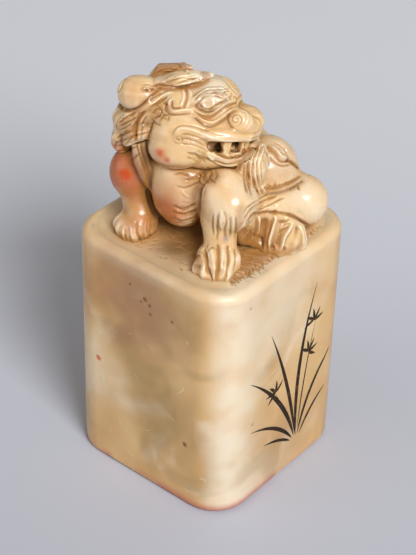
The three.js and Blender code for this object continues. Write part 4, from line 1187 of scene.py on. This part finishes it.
class SEAL_OT_block(bpy.types.Operator):
    """Cuts an orchid into the block and finishes its faces"""

    bl_idname = "seal.block"
    bl_label = "Block"

    def execute(self, context):
        colours = context.scene.seal_colours
        stone = sawn_soapstone(colours)
        block = copy_of("block", ["seal_block"])
        for vertex in block.data.vertices:
            if vertex.co.z < FOOT_TOP_MM + 1:
                vertex.co.z = BORDER_MM
            self.sharpen(vertex.co)
        apply(
            block, "BEVEL", width=BOTTOM_BEVEL_MM, segments=3, limit_method="ANGLE",
            angle_limit=math.radians(60),
        )
        block.data.materials.append(stone)
        knife = self.orchid(inked(colours))
        apply(
            block, "BOOLEAN", object=knife, operation="DIFFERENCE", solver="EXACT", use_self=True,
            material_mode="TRANSFER",
        )
        bpy.data.objects.remove(knife)
        foot = copy_of("foot", ["sealing_face"])
        foot.data.transform(Matrix.Diagonal((FOOT_INSET, FOOT_INSET, 1, 1)))
        foot.data.materials.append(stone)
        for piece, slot, solid in (
            (block, "block_stone", "seal_block"), (foot, "cinnabar_face", "sealing_face"),
        ):
            only(piece)
            bpy.ops.object.shade_smooth_by_angle(angle=math.radians(32))
            apply(piece, "WEIGHTED_NORMAL", weight=90, keep_sharp=True)
            settle(piece, slot, [solid])
        return {"FINISHED"}

    def sharpen(self, spot):
        """Moves a point of the rounded shoulder out to the tighter curve that the photograph shows."""
        flat = BLOCK_HIGH.x - CORNER_MM
        inner = Vector((min(max(spot.x, -flat), flat), min(max(spot.y, -flat), flat)))
        reach = (spot.xy - inner).length
        if spot.z < PLATFORM_MM - SHOULDER_MM or reach < CORNER_MM - SHOULDER_MM:
            return
        tighter = WORN_SHOULDER_MM / SHOULDER_MM
        spot.xy = inner + (spot.xy - inner) * (CORNER_MM - (CORNER_MM - reach) * tighter) / reach
        spot.z = PLATFORM_MM - (PLATFORM_MM - spot.z) * tighter

    def orchid(self, ink):
        """Blades, stems and petals, joined."""
        cuts = [self.blade(*shape) for shape in BLADES]
        for y, z, heading in FLOWERS:
            cuts += [self.blade(y, z, heading + turn, PETAL_BEND, *PETAL_MM) for turn in PETAL_TURNS]
        for cut in cuts:
            cut.data.materials.append(ink)
        return joined(cuts)

    def blade(self, y, z, heading, bend, length, half):
        """A bowed cut on the +X side, thickest in the middle, whose heading turns by the bend."""
        data = bpy.data.curves.new("blade", "CURVE")
        data.dimensions = "3D"
        data.bevel_depth = 1
        data.bevel_resolution = 1
        data.use_fill_caps = True
        line = data.splines.new("POLY")
        line.points.add(BLADE_STEPS)
        for index, point in enumerate(line.points):
            share = index / BLADE_STEPS
            turn = math.radians(heading + bend * share)
            point.co = (BLOCK_HIGH.x, y, z, 1)
            point.radius = half * max(0.1, math.sin(math.pi * share ** 0.75) ** 0.8)
            y += length / BLADE_STEPS * math.cos(turn)
            z += length / BLADE_STEPS * math.sin(turn)
        cut = bpy.data.objects.new("blade", data)
        bpy.context.scene.collection.objects.link(cut)
        only(cut)
        bpy.ops.object.convert(target="MESH")
        return bpy.context.object


class SEAL_OT_ground(bpy.types.Operator):
    """Scratches the ground round the lion"""

    bl_idname = "seal.ground"
    bl_label = "Ground"

    def execute(self, context):
        sizes = context.scene.seal_sizes
        bpy.ops.object.select_all(action="DESELECT")
        bpy.ops.mesh.primitive_grid_add(
            x_subdivisions=GROUND_STEPS, y_subdivisions=GROUND_STEPS, size=GROUND_SIDE,
        )
        ground = context.object
        ground.name = "scratched_ground"
        points = np.empty((len(ground.data.vertices), 3), dtype=np.float32)
        ground.data.vertices.foreach_get("co", points.ravel())
        x, y = points[:, 0], points[:, 1]

        # A smooth ramp up from a slightly wavy rim, higher on the lion's left
        wavy = 0.0035 * np.sin(0.9 * x + 0.6) + 0.003 * np.sin(1.1 * y + 0.5 * x)
        squared = np.abs(points[:, :2] / GROUND_REACH) ** GROUND_SQUARENESS
        rim = squared.sum(axis=1) ** (1 / GROUND_SQUARENESS)
        inside = np.clip((1 + wavy - rim) / GROUND_RAMP, 0, 1)
        rise = GROUND_RISE * (0.4 + 0.6 * np.clip((x - 1) / 5, 0, 1)) + GROUND_SINK

        # The rim follows the start of the block's worn shoulder
        turn = WORN_SHOULDER_MM
        over_edge = np.maximum(np.abs(x), np.abs(y)) - (BLOCK_HIGH.x - turn)
        drop = turn - np.sqrt(turn ** 2 - np.clip(over_edge, 0, turn - 0.01) ** 2)
        points[:, 2] = PLATFORM_MM - drop + rise * inside ** 2 * (3 - 2 * inside) - GROUND_SINK
        ground.data.vertices.foreach_set("co", points.ravel())
        ground.data.update()
        skin = Skin(ground)
        self.scratch(skin, sizes.scratches)
        skin.finish()
        only(ground)
        bpy.ops.object.mode_set(mode="EDIT")
        bpy.ops.mesh.select_all(action="DESELECT")
        bpy.ops.object.mode_set(mode="OBJECT")
        ground.data.vertices.foreach_set("select", rim > GROUND_CUT)
        bpy.ops.object.mode_set(mode="EDIT")
        bpy.ops.mesh.delete(type="VERT")
        bpy.ops.object.mode_set(mode="OBJECT")
        apply(ground, "SOLIDIFY", thickness=GROUND_THICKNESS, offset=-1)
        ground.data.materials.append(scratched_soapstone(context.scene.seal_colours))
        settle(ground, "ground_stone", ["ground"])
        return {"FINISHED"}

    def scratch(self, skin, count):
        """Short knife scratches: of every eight, four hatch, two fringe, one is a grain and one a stray."""
        chance = np.random.default_rng(7)
        for index in range(count):
            kind = index % 8
            half, depth, soil = SCRATCH_HALF, chance.uniform(0.1, 0.28), 0.15
            if kind < 4:
                # Hatched patch beside the lion's left paws
                start = chance.uniform((5.6, -9.0), (11.0, 2.6))
                turn = math.radians(28) + chance.normal(0, 0.2)
                length = chance.uniform(0.8, 2.2)
                soil = chance.uniform(0.4, 1)
            elif kind < 6:
                # Fringe along the edge of the +X side
                across = chance.uniform(-8.8, 8.0)
                start = np.array((11.0 + 0.06 * across + chance.uniform(-0.7, 0.2), across))
                turn = chance.normal(-0.35, 0.35)
                length = chance.uniform(0.5, 1.2)
                half, depth = 0.2, chance.uniform(0.16, 0.4)
                soil = chance.uniform(0.4, 1)
            elif kind == 6:
                # Grains in front of the chest
                start = chance.uniform((-7.0, -10.6), (5.0, -5.0))
                turn = math.radians(20) + chance.normal(0, 0.5)
                length = chance.uniform(0.4, 1.4)
                depth *= 0.5
            else:
                # Strays behind the lion
                bearing = chance.uniform(0, math.pi)
                start = np.array((math.cos(bearing), math.sin(bearing))) * chance.uniform(7.5, 10.5)
                turn = bearing + chance.normal(0, 0.5)
                length = chance.uniform(0.6, 1.5)
                depth *= 0.6
            steps = np.linspace(0, length, 8)
            line = np.zeros((8, 6), dtype=np.float32)
            for axis, ahead in enumerate((math.cos(turn), math.sin(turn))):
                line[:, axis] = np.clip(start[axis] + steps * ahead, -SCRATCH_REACH, SCRATCH_REACH)
            line[:, 5] = 1
            for place in line:
                above = Vector((place[0], place[1], ABOVE_ALL))
                place[2] = skin.tree.ray_cast(above, Vector((0, 0, -1)))[0].z
            skin.cut(line, half, depth, once=True)
            skin.soil_and_shade(line, 1.6 * half, soil)


class SEAL_OT_lion(bpy.types.Operator):
    """Blocks out the lion, carves its hair, face and paws, and finishes the stone"""

    bl_idname = "seal.lion"
    bl_label = "Lion"

    def execute(self, context):
        stone = carved_soapstone(context.scene.seal_colours)
        sizes = context.scene.seal_sizes
        pieces, skins = [], []
        for name, layers, spacing in (
            ("lion_head", HEAD_LAYERS, sizes.head_skin),
            ("lion_front", FRONT_LAYERS, sizes.body_skin),
            ("lion_rear", REAR_LAYERS, sizes.body_skin),
        ):
            piece = figure(name, layers, spacing / MM)
            pieces.append((piece, [solid for solids, _, _ in layers for solid in solids]))
            skins.append(Skin(piece))
        self.carve(skins, sizes.knife)
        for skin, locks in ((skins[0], COMBED_HEAD), (skins[2], COMBED_REAR)):
            for lock in locks:
                skin.comb(lock, COMB_DEPTH * sizes.knife)
        for skin in skins:
            skin.finish()
        for piece, solids in pieces:
            piece.data.materials.append(stone)
            settle(piece, "lion_stone", solids)
        return {"FINISHED"}

    def carve(self, skins, knife):
        """All strokes on the skins that their view sees, some mirrored, and then soil with painted shade,
        and hatching.
        """
        head = (HEAD_CENTRE_MM, HEAD_BEARING)
        body = (Vector((0, 0, PLATFORM_MM)), Matrix.Rotation(math.pi / 2, 3, "Z"))
        curls = [(CURL_HALF, depth, curl(*shape)) for *shape, depth in CURLS]
        for strokes, view, mirror in (
            (FACE_STROKES, PHOTO_VIEW, head),
            (curls, PHOTO_VIEW, head),
            (FLANK_STROKES, PHOTO_VIEW, body),
            (PHOTO_STROKES, PHOTO_VIEW, None),
            (BACK_STROKES, BACK_VIEW, None),
            (RIGHT_STROKES, RIGHT_VIEW, None),
            (MUZZLE_STROKES, MUZZLE_VIEW, None),
        ):
            for half, depth, points in strokes:
                for skin, line in seen(skins, spline(points), view):
                    skin.cut(line, half, depth * knife)
                    if mirror:
                        skin.cut(skin.reflect(line, *mirror), half, depth * knife)
        # Soil, and painted shade in the valleys beside and under the chest
        for half, strength, points in SOIL_AND_SHADE_STROKES:
            for skin, line in seen(skins, spline(points), PHOTO_VIEW):
                skin.soil_and_shade(line, half, strength)
        chance = np.random.default_rng(11)
        for patch in PHOTO_HATCHES:
            for points, depth in hatch(chance, *patch):
                for skin, line in seen(skins, spline(points), PHOTO_VIEW):
                    skin.cut(line, HATCH_HALF, depth * knife)


class SEAL_PT_panel(bpy.types.Panel):
    bl_idname = "SEAL_PT_panel"
    bl_label = "Seal stone"
    bl_space_type = "VIEW_3D"
    bl_region_type = "UI"
    bl_category = "Seal stone"

    def draw(self, context):
        for group in (context.scene.seal_sizes, context.scene.seal_colours):
            for name in group.__annotations__:
                self.layout.prop(group, name)
        for operator in OPERATORS:
            self.layout.operator(operator.bl_idname)


OPERATORS = (SEAL_OT_stage, SEAL_OT_block, SEAL_OT_ground, SEAL_OT_lion)
CLASSES = (SealColours, SealSizes, *OPERATORS, SEAL_PT_panel)


def register():
    for cls in CLASSES:
        bpy.utils.register_class(cls)
    bpy.types.Scene.seal_colours = PointerProperty(type=SealColours)
    bpy.types.Scene.seal_sizes = PointerProperty(type=SealSizes)


def unregister():
    del bpy.types.Scene.seal_sizes
    del bpy.types.Scene.seal_colours
    for cls in reversed(CLASSES):
        bpy.utils.unregister_class(cls)


def main():
    register()
    bpy.ops.seal.stage()
    bpy.ops.seal.block()
    bpy.ops.seal.ground()
    bpy.ops.seal.lion()


if __name__ == "__main__":
    main()
